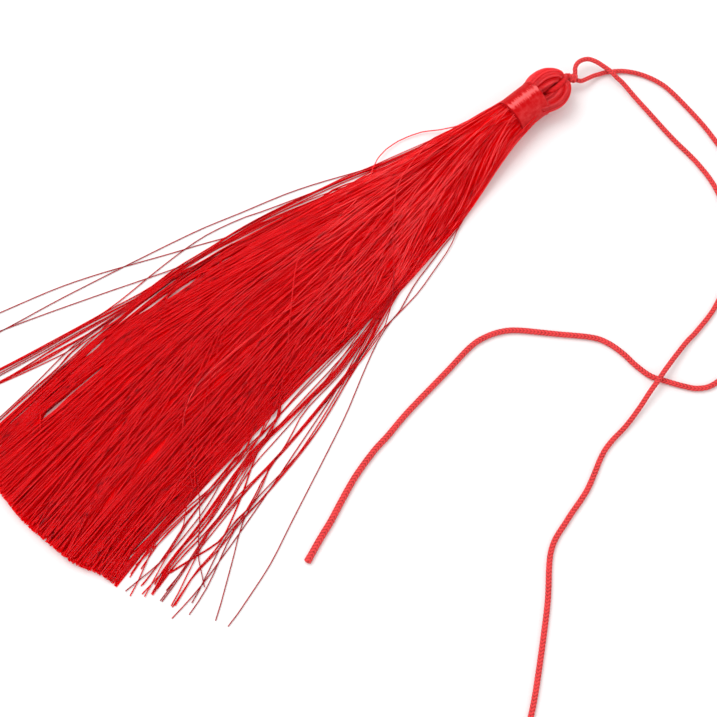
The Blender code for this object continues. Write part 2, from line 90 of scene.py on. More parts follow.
# Threads that lie apart from the mass or cross over it steeply. They start in the mass at a share
# of its width, -1 at the right edge and 1 at the left, and then pass through their own points.
# threads, lane, width over which they lie side by side, ((reach, side), ...) in mm
STRAYS = (
    (1, 0.93, 0, (
        (6, -1), (11.5, 2.9), (15.8, 6.6), (19.5, 8.3), (23.5, 9.2), (27.5, 8.9), (30.5, 7.6),
        (34, 5.4), (39, 3.9), (45, 3.4))),
    (1, 0.97, 0, (
        (12, 2.9), (20, 5.1), (29.9, 8.5), (34, 10.4), (40.5, 13.6), (45.6, 15.9), (50, 17.6),
        (58, 20.3), (67, 23.5), (81, 27.4), (99, 32.1), (111, 34.8), (126, 38.6))),
    (1, 0.95, 0, (
        (12, 2.9), (20, 5), (30, 8.3), (36, 10.6), (41.8, 12.4), (47, 14.4), (54.8, 17.5),
        (59, 19.3), (68, 21.8), (79, 22.7), (93, 23.2), (105, 25.4), (116, 28.1), (128, 31.5))),
    (1, 0.95, 0, (
        (18, 4.2), (25, 6.3), (36, 10.3), (47, 13.9), (56, 16.4), (64, 18.2), (69, 20.8),
        (73, 22.6), (81, 26.6), (89, 30.6), (97, 34.1), (106, 37.2), (124, 43))),
    (1, 0.92, 0, (
        (60, 16.2), (72, 18.6), (80, 21.7), (92, 26.9), (109, 33.9), (126, 40.2))),
    (3, 0.93, 0.6, (
        (12, 2.8), (18.8, 4.8), (24.4, 6.6), (30, 8.3), (35.3, 10.4), (40.9, 12.1), (47.2, 14.2),
        (55.7, 16.6), (62, 17.9), (68, 18.7), (77, 20.1), (84, 20.5), (93, 22.8), (100, 24.3),
        (114, 27.6), (127, 31))),
    (2, 0.92, 1, (
        (36, 7.9), (44, 11.2), (54, 14.6), (64, 17), (71, 18.6), (81, 20), (91, 21.8), (100, 24),
        (110, 25.9), (129, 30))),
    (3, 0.9, 1.1, (
        (43, 10.2), (52, 13.4), (61, 16), (69, 18.2), (79, 19.5), (91, 20.9), (99, 22.3),
        (108, 24.3), (116, 25.8), (128, 28.4))),
    (2, 0.92, 0.5, (
        (18, 4.3), (27, 6.9), (38, 10.8), (48, 13.7), (58, 16.4), (66, 17.9), (76, 19.6),
        (90, 20.8), (106, 20.3), (131, 19.2))),
    (2, 0.93, 0.6, (
        (82, 19.2), (94, 21.2), (104, 22.9), (110, 24), (118, 26), (130, 29))),
    (1, 0.93, 0, (
        (90, 20), (97, 21.3), (105, 21.9), (110, 23.2), (116, 25), (128, 29))),
    (1, 0.94, 0, (
        (92, 20.5), (100, 21.9), (106, 22.1), (112, 21.6), (120, 21), (132, 20.6))),
    (2, 0.93, 0.4, (
        (92, 19.6), (100, 20.9), (105, 21.4), (109, 20.7), (120, 20.5), (132, 20))),
    (1, -0.98, 0, (
        (-2, -9.4), (5, -10), (10, -11), (16, -12.3), (24, -14.2), (27.7, -15.1), (30.6, -15.5),
        (33.6, -15.9), (37.5, -16.8), (40.9, -17.2), (45.2, -18.5), (49, -19.8), (52, -20.2),
        (57, -21.4), (65, -24.8), (73, -28.5), (84, -32.7), (97, -37.5), (106, -40.9),
        (115, -43.2), (121, -44.6))),
    (1, -0.97, 0, (
        (-2, -9.3), (5, -9.9), (10, -10.9), (14, -11.8), (22, -13.7), (27.9, -15.4), (31.1, -16.9),
        (34.6, -17.7), (38.9, -18.6), (42.7, -19.5), (46.3, -19.8), (50.5, -20.1), (54, -20.2),
        (58, -20.8), (69, -23.8), (80, -27), (90, -28.4), (102, -29.6), (111, -35), (122, -42))),
    (1, -0.97, 0, (
        (42, -15.8), (48, -17.2), (55, -19.7), (62, -21.4), (69, -23.8), (77, -26.3), (85, -28.1),
        (96, -29.6), (103, -30.2), (108, -31.1), (118, -35.4), (125, -37.4))),
    (1, -0.96, 0, (
        (46, -16.3), (57, -19.2), (65, -22), (72, -24.2), (79, -26.2), (86, -27.9), (98, -29.7),
        (108, -30.3), (114, -32.5), (123, -36.1))),
    (1, -0.95, 0, (
        (48, -16.5), (57, -18.8), (70, -23), (78, -25.1), (85, -26.8), (91, -28.3), (98, -30),
        (105, -31.6), (111, -32.9), (120, -34.7), (128, -35.5))),
    (2, -0.96, 0.35, (
        (47, -16.4), (54, -18.6), (61, -21.2), (68, -22.6), (74, -23.5), (86, -25), (92, -25.6),
        (101, -26.4), (112, -27.6), (117, -29.1), (128, -31.6))),
    (2, -0.95, 0.4, (
        (50, -16.8), (61, -21), (74, -23.3), (86, -24.9), (92, -25.7), (97, -28), (102, -29.4),
        (106, -29.3), (110, -30.5), (115, -29.6), (124.5, -27.9))),
    (1, -0.94, 0, (
        (50, -16.8), (61, -21), (74, -23.6), (86, -24.9), (94, -25.6), (103, -26), (112, -27.1),
        (120, -27.7), (127, -28.8))),
    (1, -0.94, 0, (
        (60, -19.4), (67, -21.2), (76, -21.8), (80, -22.3), (86, -24.5), (95, -26.8), (100, -28.7),
        (110, -31.3), (120, -32.1), (126.4, -34))),
    (1, -0.93, 0, (
        (63, -18.4), (70, -20), (78, -21.5), (88, -22.6), (96, -23.6), (105, -26.3), (110, -27),
        (118, -27.4), (126, -29))),
    (7, -0.92, 1.3, (
        (55, -17.6), (62, -19), (70, -20.1), (82, -20.6), (91, -21.1), (101, -23.1), (111, -25.4),
        (120, -26.6), (128, -29.4))),
    (2, -0.93, 0.35, (
        (85, -19.6), (89, -20.7), (94, -22.6), (98, -24.9), (103, -27.5), (108, -29.8),
        (112, -31.3), (118, -31.7), (126.4, -34))),
    (1, -0.92, 0, (
        (89, -21), (98.5, -23.9), (104, -25.8), (109, -26.9), (114.5, -28.9), (119, -30.6),
        (126.4, -33.7))),
    (1, -0.95, 0, (
        (80, -18.6), (89, -19.8), (101.6, -20.3), (108.6, -21.5), (117.5, -21.7),
        (125.7, -23.6))),
    (1, -0.94, 0, (
        (93, -20.4), (102, -21.5), (107, -23.1), (112, -24.1), (121, -25.3), (131, -24.8))),
    (2, -0.93, 0.4, (
        (97, -20.6), (106, -21.7), (111, -22.4), (116, -23.8), (120, -24.9), (129, -26.4))),
    (1, -0.96, 0, (
        (99, -20), (107, -21.2), (114, -21.7), (119, -22.1), (126, -22.3))),
    (1, -0.96, 0, (
        (109, -19.8), (115, -20.1), (119, -21), (122, -22.4), (127, -24.7), (131, -26.6))),
    (2, -0.96, 0.6, (
        (60, -17.4), (68, -17.9), (77, -18.4), (86, -19.4), (96, -19.7), (103, -21), (110, -20.9),
        (120, -21.5), (130, -23.6))),
    (1, -0.22, 0, (
        (92, -3), (100, -7.6), (106, -15.5), (110.5, -20.6), (114, -23.3), (122, -25.9),
        (129, -28.4))),
    (1, -0.27, 0, (
        (98, -4.4), (101.4, -12.1), (106, -19.3), (110, -24.2), (115, -28.8), (119, -35.3))),
    (1, 0.85, 0, (
        (20, 2.8), (23.6, 1.9), (29.3, 0.5), (34.4, -2.9), (37, -5.4), (39.6, -7.9), (43.3, -11.9),
        (47.1, -16), (49.5, -17.6), (56, -21), (76, -23.8), (100, -26.5), (125, -30.5))),
    (1, 0.28, 0, (
        (57, 2.9), (60, 0.8), (63, -1.8), (68, -6.2), (76, -13.2), (83, -17.6), (96, -21.5),
        (118, -26.4), (129, -27.6))),
)

# Places where the mass has parted and the surface shows through.
# reach from and to, side from and to, width (mm)
SLITS = (
    (71, 86, 14.9, 16.9, 1.2), (80, 93, 16.9, 18.3, 1), (92, 97, 18.5, 18.6, 0.5),
    (97, 105, 18.6, 18.5, 0.7), (62, 74, 13.2, 15.7, 0.7), (100, 120.5, 13.7, 14.8, 0.9),
    (105, 112, 17.5, 17.9, 0.5), (110, 117, 16.8, 17.1, 0.5), (86, 92, 19, 19.3, 0.5),
    (114, 126, 18.2, 18.4, 0.5), (45, 60, 9.4, 13.4, 0.4), (46, 62, 10.6, 14.9, 0.45),
    (52, 70, 11.7, 16.3, 0.45), (64, 82, 16, 18.5, 0.5), (70, 88, 16.6, 18.5, 0.5),
    (76, 94, 18.5, 19.5, 0.45), (122, 139, 13, 13.9, 0.6), (126, 141, 15.4, 16.4, 0.7),
    (60, 82, -16, -16.6, 0.4), (104, 128, -18.4, -20, 0.5),
)

# The cord's tails, from the knot to the free end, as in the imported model.
# x, y, and the height of the cord's middle where it is lifted off the surface (mm)
LYING = 0.65
SHORT_ROUTE = (
    (76.5, -7.1, 3.3), (77.3, -6.3, 3.35), (78.6, -5.8, 3.3), (80, -6, 3.2), (81.2, -6.8, 3.1),
    (82, -8.3, 2.9), (82.5, -10.2, 2.6), (82.8, -12.2, 2.4), (82.8, -14, 2.1),
    (82.9, -15.9, 1.75), (82.6, -19.9, 1.1), (82.3, -23.9, 0.75), (81.4, -32), (80.9, -40),
    (79.5, -46.5), (76.3, -53), (71.4, -58.6), (65.5, -62.9), (58.6, -65.6), (52, -66.6, 0.8),
    (48.6, -66.8, 1.1), (44.4, -67.4, 1.7), (40.3, -68.1, 2.25), (37.4, -68.7, 2.3),
    (34.4, -69.2, 2.05), (30.6, -70, 1.5), (25.8, -70.7, 0.9), (21.2, -70.9, 0.7), (17.5, -71.7),
    (10.2, -74.6), (2.7, -76.2), (-4.3, -78.4), (-12.8, -85.6), (-24.4, -94.3), (-31, -98.8),
    (-38.7, -103.3), (-47.4, -104.8), (-55.6, -101.3), (-60.3, -93.9), (-61.2, -89.6),
)
LONG_ROUTE = (
    (76.35, -9.25, 2.6), (78.2, -9.6, 1.9), (79.8, -9.9, 1.4), (81.3, -10.4, 0.95),
    (82.7, -11, 0.7), (85.6, -13.3), (87.8, -16.5), (89.2, -20.3), (89.6, -24.3), (88.9, -32.6),
    (88, -37.9), (86.2, -44.9), (82.7, -52.4), (77.1, -60.1), (69.5, -67.3), (60.8, -73.1),
    (54.2, -76.2), (49, -77.3), (45.1, -76.9), (42.6, -75.3), (41, -73.1), (39.2, -69.9),
    (37.6, -66.7), (37.1, -62.9), (37.1, -59.2), (36.5, -55.4), (34.9, -52.1), (30, -46.3),
    (25.1, -40.5), (22.2, -38.1), (18.8, -36.6), (15, -36), (7.2, -36.5), (-4.5, -37.2),
    (-11, -38), (-15.5, -38.4), (-22, -39.7), (-28, -41.6), (-32, -43), (-36.5, -44.3),
    (-41.5, -45.9),
)

# The tails' thickness, as shares of the cord's.
# how far from the knot (mm), share
SHORT_THICKNESS = ((0, 0.84), (30, 0.88), (110, 0.92), (125, 1), (213, 1.02))
LONG_THICKNESS = ((0, 0.82), (30, 0.86), (100, 0.96), (150, 1.02), (190, 1.12), (205, 1.2))

COLUMNS = 6                     # half columns of stitches round the cord
STITCH_SLANT = 0.75             # stitches that a strand climbs across its half column
GROOVE = 0.45                   # depth between two columns, against that between two stitches
BRAID_SIDES = 32
BRAID_PITCH = 0.14 * MM
BRAID_DEPTH = 0.09              # of the cord's radius
FLARE = 0.16                    # how much a sealed end flares, in shares of the thickness
FLAT_END = 0.55                 # the flat face of a sealed end, in shares of the thickness
FLARE_REACH = 1.6               # how far back from the end it flares, in diameters
RIM_REACH = 0.22                # how far back the end's rim is rounded
MELT_REACH = 0.8                # how far back the braid has melted


# Settings

def length(name, description, millimetres):
    return bpy.props.FloatProperty(name=name, description=description, default=millimetres * MM,
                                   min=0.0, unit="LENGTH", precision=5)


def count(name, description, value):
    return bpy.props.IntProperty(name=name, description=description, default=value, min=1)


def factor(name, description, value):
    return bpy.props.FloatProperty(name=name, description=description, default=value)


def colour(name, description, value):
    return bpy.props.FloatVectorProperty(name=name, description=description, default=value,
                                         subtype="COLOR", size=3, min=0.0, max=1.0)


def angle(name, description, degrees):
    return bpy.props.FloatProperty(name=name, description=description,
                                   default=math.radians(degrees), subtype="ANGLE", unit="ROTATION")


class TasselThreadSettings(bpy.types.PropertyGroup):
    diameter: length("Thread Diameter", "Thickness of one skirt thread", 0.27)
    lone: length("Lone Thread Diameter", "Thickness of a thread that lies by itself", 0.19)
    crossing: count("Crossing Threads", "Threads that cross over the others on top", 70)
    threads: count("Threads", "Threads in the dense part of the skirt", 940)
    skirt: length("Skirt Length", "Thread from the binding to its cut end", 135.5)
    ragged: length("Ragged Ends", "How unevenly the threads are cut", 1.5)
    sides: count("Thread Sides", "Faces round one thread", 5)
    stations: count("Stations", "Sections along one thread", 46)
    rounds: count("Settling Rounds", "Steps in which the threads come to lie on one another", 70)
    twist: length("Twist Pitch", "Length of one turn of the two-ply twist", 1.1)
    # Tone ramp: the threads' own tones, and the painted shade and highlights of bundles and
    # crossing threads.
    gleam: colour("Gleaming Thread", "Colour of the lightest threads", (0.97, 0.056, 0.062))
    bright: colour("Bright Thread", "Colour of the usual thread", (0.73, 0.010, 0.014))
    deep: colour("Deep Thread", "Colour of the darkest threads", (0.60, 0.001, 0.003))
    lone_colour: colour("Lone Thread", "Colour of a thread by itself", (0.32, 0.014, 0.020))
    # Painted shade: the wound thread darkens at the band's rim, in the crease by the skirt.
    rim_shade: colour("Binding Crease", "Colour of the wound thread at the band's rim",
                   (0.34, 0.001, 0.003))
    satin: colour("Binding Silk", "Colour of the wound thread", (0.53, 0.003, 0.005))
    # Painted highlight: the streak of light along the band, and fainter light on its flanks.
    painted_sheen: colour("Binding Sheen", "Colour of the wound thread where it gleams",
                  (1.0, 0.16, 0.16))
    glow: length("Glow", "How far light spreads inside a thread and its neighbours", 0.38)
    # Painted light: this bright red is laid on threads in the gaps under others, on the cores and
    # on the crown's inner shells, where shade would fall.
    depth: colour("Silk Depth", "Colour that shines out between the threads", (1.0, 0.0, 0.002))


class TasselHeadSettings(bpy.types.PropertyGroup):
    binding_length: length("Binding Length", "Width of the band of turns", 8.2)
    binding_radius: length("Binding Radius", "Outside of the band of turns", 4.18)
    winding: length("Winding Thread", "Thickness of the thread that is wound round", 0.24)
    eye: length("Eye Position", "From the skirt's end of the binding to the eye", 9.4)
    fold_half_width: length("Fold Half Width", "Half of the folded hank's width", 2.25)
    fold_half_height: length("Fold Half Height", "Half of the folded hank's height", 4.2)


class TasselCordSettings(bpy.types.PropertyGroup):
    diameter: length("Cord Diameter", "Thickness of the braided cord", 1.24)
    stitch: length("Braid Stitch", "Length of one stitch of the braid", 0.76)
    colour: colour("Cord Colour", "Colour of the braided cord", (0.82, 0.056, 0.058))
    shaded: colour("Shaded Cord", "Colour of the cord among the hank's threads",
                   (0.66, 0.010, 0.014))


class TasselStageSettings(bpy.types.PropertyGroup):
    distance: length("Camera Distance", "From the camera to the point that it faces", 399.0)
    elevation: angle("Camera Elevation", "Angle of the view above the surface", 70.0)
    heading: angle("Camera Heading", "Turn of the view from +Y towards +X", 43.9)
    key: factor("Key Light", "Power of the large soft light", 2.2)
    sky: factor("Sky Light", "Strength of the light from all round", 1.0)


# Meshes and curves

def distance_along(line):
    """How far each point of a line is from its start."""
    return np.concatenate(([0.0], np.cumsum(np.linalg.norm(np.diff(line, axis=0), axis=1))))


def evenly(line, stations):
    """That many points at an even pitch on a line."""
    along = distance_along(line)
    wanted = np.linspace(0.0, along[-1], stations)
    return np.column_stack([np.interp(wanted, along, column) for column in line.T])


def smooth_line(points, pitch):
    """Points at an even pitch on a Catmull-Rom curve through the given ones."""
    points = np.array(points, float)
    line = np.vstack((2 * points[0] - points[1], points, 2 * points[-1] - points[-2]))
    fine = []
    for a, b, c, d in zip(line, line[1:], line[2:], line[3:]):
        for t in np.linspace(0.0, 1.0, 24, endpoint=False):
            fine.append(0.5 * (2 * b + (c - a) * t + (2 * a - 5 * b + 4 * c - d) * t ** 2
                               + (3 * b - a - 3 * c + d) * t ** 3))
    fine = np.array([*fine, points[-1]])
    return evenly(fine, max(2, round(distance_along(fine)[-1] / pitch) + 1))


def ring_angles(sides):
    """Angles of evenly spaced points round a ring."""
    return np.linspace(0.0, TAU, sides, endpoint=False)


def frames_along(points):
    """Two directions square to the line at each point, carried along it without twisting."""
    tangents = np.gradient(points, axis=0)
    tangents /= np.linalg.norm(tangents, axis=1)[:, None]
    start = Vector(tangents[0])
    aside = start.orthogonal() if abs(start.z) > 0.9 else start.cross(Vector((0, 0, 1)))
    asides = [np.array(aside.normalized())]
    for tangent in tangents[1:]:
        moved = asides[-1] - tangent * np.dot(asides[-1], tangent)
        asides.append(moved / np.linalg.norm(moved))
    asides = np.array(asides)
    return asides, np.cross(tangents, asides)


def new_object(name, mesh, material):
    obj = bpy.data.objects.new(name, mesh)
    bpy.context.scene.collection.objects.link(obj)
    if material is not None:
        mesh.materials.clear()
        mesh.materials.append(material)
    return obj


def store_numbers(mesh, name, values):
    """Stores a number for each point of the mesh."""
    attribute = mesh.attributes.new(name, "FLOAT", "POINT")
    attribute.data.foreach_set("value", np.ascontiguousarray(values, np.float32))


def store_vectors(mesh, name, values):
    """Stores a vector for each point of the mesh."""
    attribute = mesh.attributes.new(name, "FLOAT_VECTOR", "POINT")
    attribute.data.foreach_set("vector", np.ascontiguousarray(values, np.float32).ravel())


def skin(name, rings, material, along, tone):
    """A closed tube through rings of points, with the attributes that the thread shaders read."""
    stations, sides, _ = rings.shape
    index = np.arange(stations * sides).reshape(stations, sides)
    low, high = index[:-1], index[1:]
    quads = np.stack((low, np.roll(low, -1, 1), np.roll(high, -1, 1), high), axis=-1)
    faces = [tuple(face) for face in quads.reshape(-1, 4).tolist()]
    faces += [tuple(reversed(index[0].tolist())), tuple(index[-1].tolist())]
    mesh = bpy.data.meshes.new(name)
    mesh.from_pydata(rings.reshape(-1, 3).tolist(), [], faces)
    mesh.shade_smooth()
    turn = ring_angles(sides)
    ring = np.stack((np.cos(turn), np.sin(turn), np.zeros(sides)), axis=-1)
    store_vectors(mesh, "ring", np.tile(ring, (stations, 1)))
    store_numbers(mesh, "along", np.repeat(along, sides))
    store_numbers(mesh, "tone", np.full(stations * sides, tone))
    return new_object(name, mesh, material)


def belongs(piece, node):
    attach(piece, BODY)
    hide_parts(node)


# Materials

THREAD_RELIEF = 0.02 * MM       # depth of the shaded relief on threads
BRAID_RELIEF = 0.07 * MM        # and on the braid
SILK_FLECKS = 260.0             # scales of the flecks on the twisted and on the wound silk
SATIN_FLECKS = 1100.0
SHADE_FLECKS = 500.0             # of the unevenness of the painted shade in the braid's valleys, and of its light specks
BRAID_FLECKS = 900.0
BRIGHT_AT, SATIN_AT = 0.6, 0.4  # tones at which the usual colour shows
VALLEY_SHADE = 0.25              # painted shade: colour in the braid's valleys, against that on its stitches
TWIST_SHADE = 0.5                # and the painted shade between the plies of a thread
SCATTER = (1.0, 0.08, 0.08)     # red light spreads far inside the silk, the rest hardly


def feed(tree, node, inputs):
    """Gives inputs of a node their value, or a link where the value is another node's output."""
    for key, value in inputs.items():
        if isinstance(value, bpy.types.NodeSocket):
            tree.links.new(value, node.inputs[key])
        else:
            node.inputs[key].default_value = value


def add_node(tree, kind, inputs, **properties):
    """A new node. Its properties come first, as they decide which inputs it has."""
    node = tree.nodes.new(kind)
    for name, value in properties.items():
        setattr(node, name, value)
    feed(tree, node, inputs)
    return node


def math_node(tree, operation, *values):
    node = add_node(tree, "ShaderNodeMath", dict(enumerate(values)), operation=operation)
    return node.outputs[0]


def mix_colours(tree, share, first, second):
    node = add_node(tree, "ShaderNodeMix", {"Factor": share}, data_type="RGBA")
    for name, value in (("A", first), ("B", second)):
        socket = next(s for s in node.inputs if s.name == name and s.type == "RGBA")
        if isinstance(value, tuple):
            socket.default_value = (*value, 1.0)
        else:
            tree.links.new(value, socket)
    return next(s for s in node.outputs if s.type == "RGBA")


def stored(tree, name, output="Fac"):
    """What the mesh has stored at each point under a name."""
    return add_node(tree, "ShaderNodeAttribute", {}, attribute_name=name).outputs[output]


def angle_round(tree):
    """Angle round the thread or the cord."""
    ring = add_node(tree, "ShaderNodeSeparateXYZ", {"Vector": stored(tree, "ring", "Vector")})
    return math_node(tree, "ARCTAN2", ring.outputs["Y"], ring.outputs["X"])


def fleck(tree, scale):
    place = add_node(tree, "ShaderNodeTexCoord", {}).outputs["Object"]
    inputs = {"Scale": scale, "Detail": 2.0, "Vector": place}
    return add_node(tree, "ShaderNodeTexNoise", inputs).outputs["Fac"]


def flecked_tone(tree, noise, swing):
    """The stored tone, lighter and darker by the noise."""
    own = math_node(tree, "MULTIPLY", noise, 2 * swing)
    return math_node(tree, "ADD", stored(tree, "tone"), math_node(tree, "SUBTRACT", own, swing))


def three_shades(tree, tone, middle, shades):
    """The tone as a colour: the first shade at 0, the second at middle and the third at 1."""
    ramp = add_node(tree, "ShaderNodeValToRGB", {"Fac": tone})
    ramp.color_ramp.elements.new(middle)
    for stop, shade in zip(ramp.color_ramp.elements, shades):
        stop.color = (*shade, 1.0)
    return ramp.outputs["Color"]


def new_material(name):
    material = bpy.data.materials.new(name)
    material.use_nodes = True
    return material, material.node_tree


def surface(tree, base, height, bump_distance, inputs):
    """Leads a colour and a relief into the material's shader, and sets its other inputs."""
    bump = add_node(tree, "ShaderNodeBump",
                    {"Strength": 1.0, "Distance": bump_distance, "Height": height})
    feed(tree, tree.nodes["Principled BSDF"],
         {"Metallic": 0.0, "Base Color": base, "Normal": bump.outputs["Normal"], **inputs})


def twisted_silk(name, settings):
    """Two-ply silk thread: a tone for each thread, and painted shade in the twist's two valleys."""
    material, tree = new_material(name)
    deep = tuple(settings.deep)
    run = math_node(tree, "MULTIPLY", stored(tree, "along"), TAU / settings.twist)
    wave = math_node(tree, "COSINE", math_node(tree, "SUBTRACT", angle_round(tree), run))
    ply = math_node(tree, "ABSOLUTE", wave)
    tone = flecked_tone(tree, fleck(tree, SILK_FLECKS), 0.15)
    silk = three_shades(tree, tone, BRIGHT_AT, (deep, settings.bright, settings.gleam))
    silk = mix_colours(tree, stored(tree, "lone"), silk, tuple(settings.lone_colour))
    # Painted light in the gaps: threads that lie under others take the bright red depth colour.
    silk = mix_colours(tree, stored(tree, "below"), silk, tuple(settings.depth))
    # Painted shade in the valleys between the plies.
    ply_shade = math_node(tree, "MULTIPLY", math_node(tree, "SUBTRACT", 1.0, ply), 0.2)
    silk = mix_colours(tree, ply_shade, silk, tuple(TWIST_SHADE * channel for channel in deep))
    surface(tree, silk, ply, THREAD_RELIEF, {
        "Roughness": 0.5, "Specular IOR Level": 0.06, "Subsurface Weight": 1.0,
        "Subsurface Radius": SCATTER, "Subsurface Scale": settings.glow})
    return material


def wound_silk(name, settings):
    """Untwisted silk that is wound tightly. Its tone gives painted shade at the rim, the satin
    colour, and a painted highlight in a streak along the band.
    """
    material, tree = new_material(name)
    grain = fleck(tree, SATIN_FLECKS)
    shades = (settings.rim_shade, settings.satin, settings.painted_sheen)
    silk = three_shades(tree, flecked_tone(tree, grain, 0.12), SATIN_AT, shades)
    surface(tree, silk, grain, THREAD_RELIEF, {"Roughness": 0.4, "Specular IOR Level": 0.05})
    return material


def braided_silk(name, settings):
    """Eight-strand round braid: columns of slanted stitches, mirrored by turns.
    Its valleys get painted shade, uneven from place to place.
    """
    material, tree = new_material(name)
    bright = tuple(settings.colour)

    def calc(operation, *values):
        return math_node(tree, operation, *values)

    column = calc("MULTIPLY", calc("ADD", angle_round(tree), math.pi), COLUMNS / TAU)
    across = calc("PINGPONG", column, 1.0)
    run = calc("DIVIDE", stored(tree, "along"), settings.stitch)
    stitch = calc("ADD", run, calc("MULTIPLY", across, STITCH_SLANT))
    inside = calc("SUBTRACT", calc("FRACT", stitch), 0.5)
    bulge = calc("COSINE", calc("MULTIPLY", inside, math.pi))
    edge = calc("ABSOLUTE", calc("SUBTRACT", calc("MULTIPLY", across, 2.0), 1.0))
    height = calc("SUBTRACT", bulge, calc("MULTIPLY", calc("POWER", edge, 4.0), GROOVE))
    # Painted shade in the valleys, made uneven by noise.
    uneven_shade = calc("ADD", fleck(tree, SHADE_FLECKS), 0.15)
    shade = calc("MINIMUM", calc("MULTIPLY", calc("SUBTRACT", 1.0, height), uneven_shade), 0.9)
    hidden = calc("MULTIPLY", stored(tree, "tone"), 0.75)
    shade = calc("MULTIPLY", shade, calc("SUBTRACT", 1.0, hidden))
    speck = calc("MULTIPLY", fleck(tree, BRAID_FLECKS), 0.3)
    silk = mix_colours(tree, speck, bright, tuple(min(1.0, 1.25 * c) for c in bright))
    silk = mix_colours(tree, stored(tree, "tone"), silk, tuple(settings.shaded))
    silk = mix_colours(tree, shade, silk, tuple(VALLEY_SHADE * channel for channel in bright))
    surface(tree, silk, height, BRAID_RELIEF, {"Roughness": 0.5, "Specular IOR Level": 0.12})
    return material


# The braided cord

def braid_relief(along, stitch):
    """Height of the braid at each station and side, from 0 in the valleys to 1."""
    turn = ring_angles(BRAID_SIDES)[None, :]
    wrapped = np.arctan2(np.sin(turn), np.cos(turn))
    column = (wrapped + math.pi) * COLUMNS / TAU
    across = 1.0 - np.abs(1.0 - np.mod(column, 2.0))
    inside = np.mod(along[:, None] / stitch + across * STITCH_SLANT, 1.0) - 0.5
    return np.cos(inside * math.pi) - GROOVE * np.abs(2 * across - 1) ** 4


def braided_cord(name, points, settings, material, swell=1.0, melt=1.0, tone=0.0):
    """The cord along evenly spaced points. swell scales its thickness from end to end, and melt
    the height of its braid."""
    stations = len(points)
    along = distance_along(points)
    aside, up = frames_along(points)
    turn = ring_angles(BRAID_SIDES)
    relief = braid_relief(along, settings.stitch) * np.broadcast_to(melt, stations)[:, None]
    size = settings.diameter / 2 * np.broadcast_to(swell, stations)[:, None]
    reach = size * (1.0 - BRAID_DEPTH + BRAID_DEPTH * relief)
    directions = (aside[:, None, :] * np.cos(turn)[None, :, None]
                  + up[:, None, :] * np.sin(turn)[None, :, None])
    rings = points[:, None, :] + directions * reach[:, :, None]
    return skin(name, rings, material, along, tone)


def sealed_end(along, diameter):
    """A heat-sealed end: the cord flares a little, and its braid has melted smooth."""
    left = along[-1] - along
    flare = FLARE * np.clip(1.0 - left / (FLARE_REACH * diameter), 0.0, 1.0) ** 1.5
    rim = np.clip(left / (RIM_REACH * diameter), 0.0, 1.0)
    swell = (1.0 + flare) * (FLAT_END + (1.0 - FLAT_END) * np.sqrt(1.0 - (1.0 - rim) ** 2))
    return swell, np.clip(left / (MELT_REACH * diameter), 0.0, 1.0)


def make_tail(name, node, route, lead_in, thickness, settings, material):
    """One tail of the cord. It starts inside the knot, and leaves it at its route's start."""
    route = [(*point, LYING)[:3] for point in route]
    points = smooth_line(np.array((lead_in, *route)) * MM, BRAID_PITCH)
    along = distance_along(points)
    swell, melt = sealed_end(along, settings.diameter)
    places, shares = np.array(thickness).T
    swell = swell * np.interp(along / MM, places, shares)
    tail = braided_cord(name, points, settings, material, swell, melt)
    belongs(tail, node)


# Threads by Geometry Nodes

TURN_POINTS = 60                # points of the spiral in one turn
UNEVEN_SCALE = 900.0            # of the noise that makes the turns uneven


def new_tree(name, inputs):
    """An empty Geometry Nodes tree with named inputs, and the sockets that give their values."""
    tree = bpy.data.node_groups.new(name, "GeometryNodeTree")
    for title, kind in (("Geometry", "Geometry"), *inputs):
        tree.interface.new_socket(title, in_out="INPUT", socket_type="NodeSocket" + kind)
    tree.interface.new_socket("Geometry", in_out="OUTPUT", socket_type="NodeSocketGeometry")
    return tree, add_node(tree, "NodeGroupInput", {}).outputs


def vector_node(tree, operation, inputs):
    return add_node(tree, "ShaderNodeVectorMath", inputs, operation=operation).outputs["Vector"]


def store_node(tree, geometry, name, kind, value):
    """Stores a value at each point of the geometry under a name that the shaders read."""
    inputs = {"Name": name, "Value": value, "Geometry": geometry}
    node = add_node(tree, "GeometryNodeStoreNamedAttribute", inputs, data_type=kind)
    return node.outputs["Geometry"]


def store_run(tree, curve):
    run = add_node(tree, "GeometryNodeSplineParameter", {}).outputs["Length"]
    return store_node(tree, curve, "along", "FLOAT", run)


def thread_section(tree, radius, sides):
    """The ring of points that is swept, and how each of them lies round the thread."""
    inputs = {"Radius": radius, "Resolution": sides}
    circle = add_node(tree, "GeometryNodeCurvePrimitiveCircle", inputs).outputs["Curve"]
    place = add_node(tree, "GeometryNodeInputPosition", {}).outputs["Position"]
    return store_node(tree, circle, "ring", "FLOAT_VECTOR",
                      vector_node(tree, "NORMALIZE", {0: place}))


def sweep(tree, curve, section, material):
    """Ends the tree: a smooth tube along the curve, made real and given its material."""
    tube = add_node(tree, "GeometryNodeCurveToMesh",
                    {"Curve": curve, "Profile Curve": section, "Fill Caps": True})
    smooth = add_node(tree, "GeometryNodeSetShadeSmooth", {"Geometry": tube.outputs["Mesh"]})
    real = add_node(tree, "GeometryNodeRealizeInstances", {"Geometry": smooth.outputs["Geometry"]})
    painted = add_node(tree, "GeometryNodeSetMaterial",
                       {"Geometry": real.outputs["Geometry"], "Material": material})
    add_node(tree, "NodeGroupOutput", {"Geometry": painted.outputs["Geometry"]})
    return tube


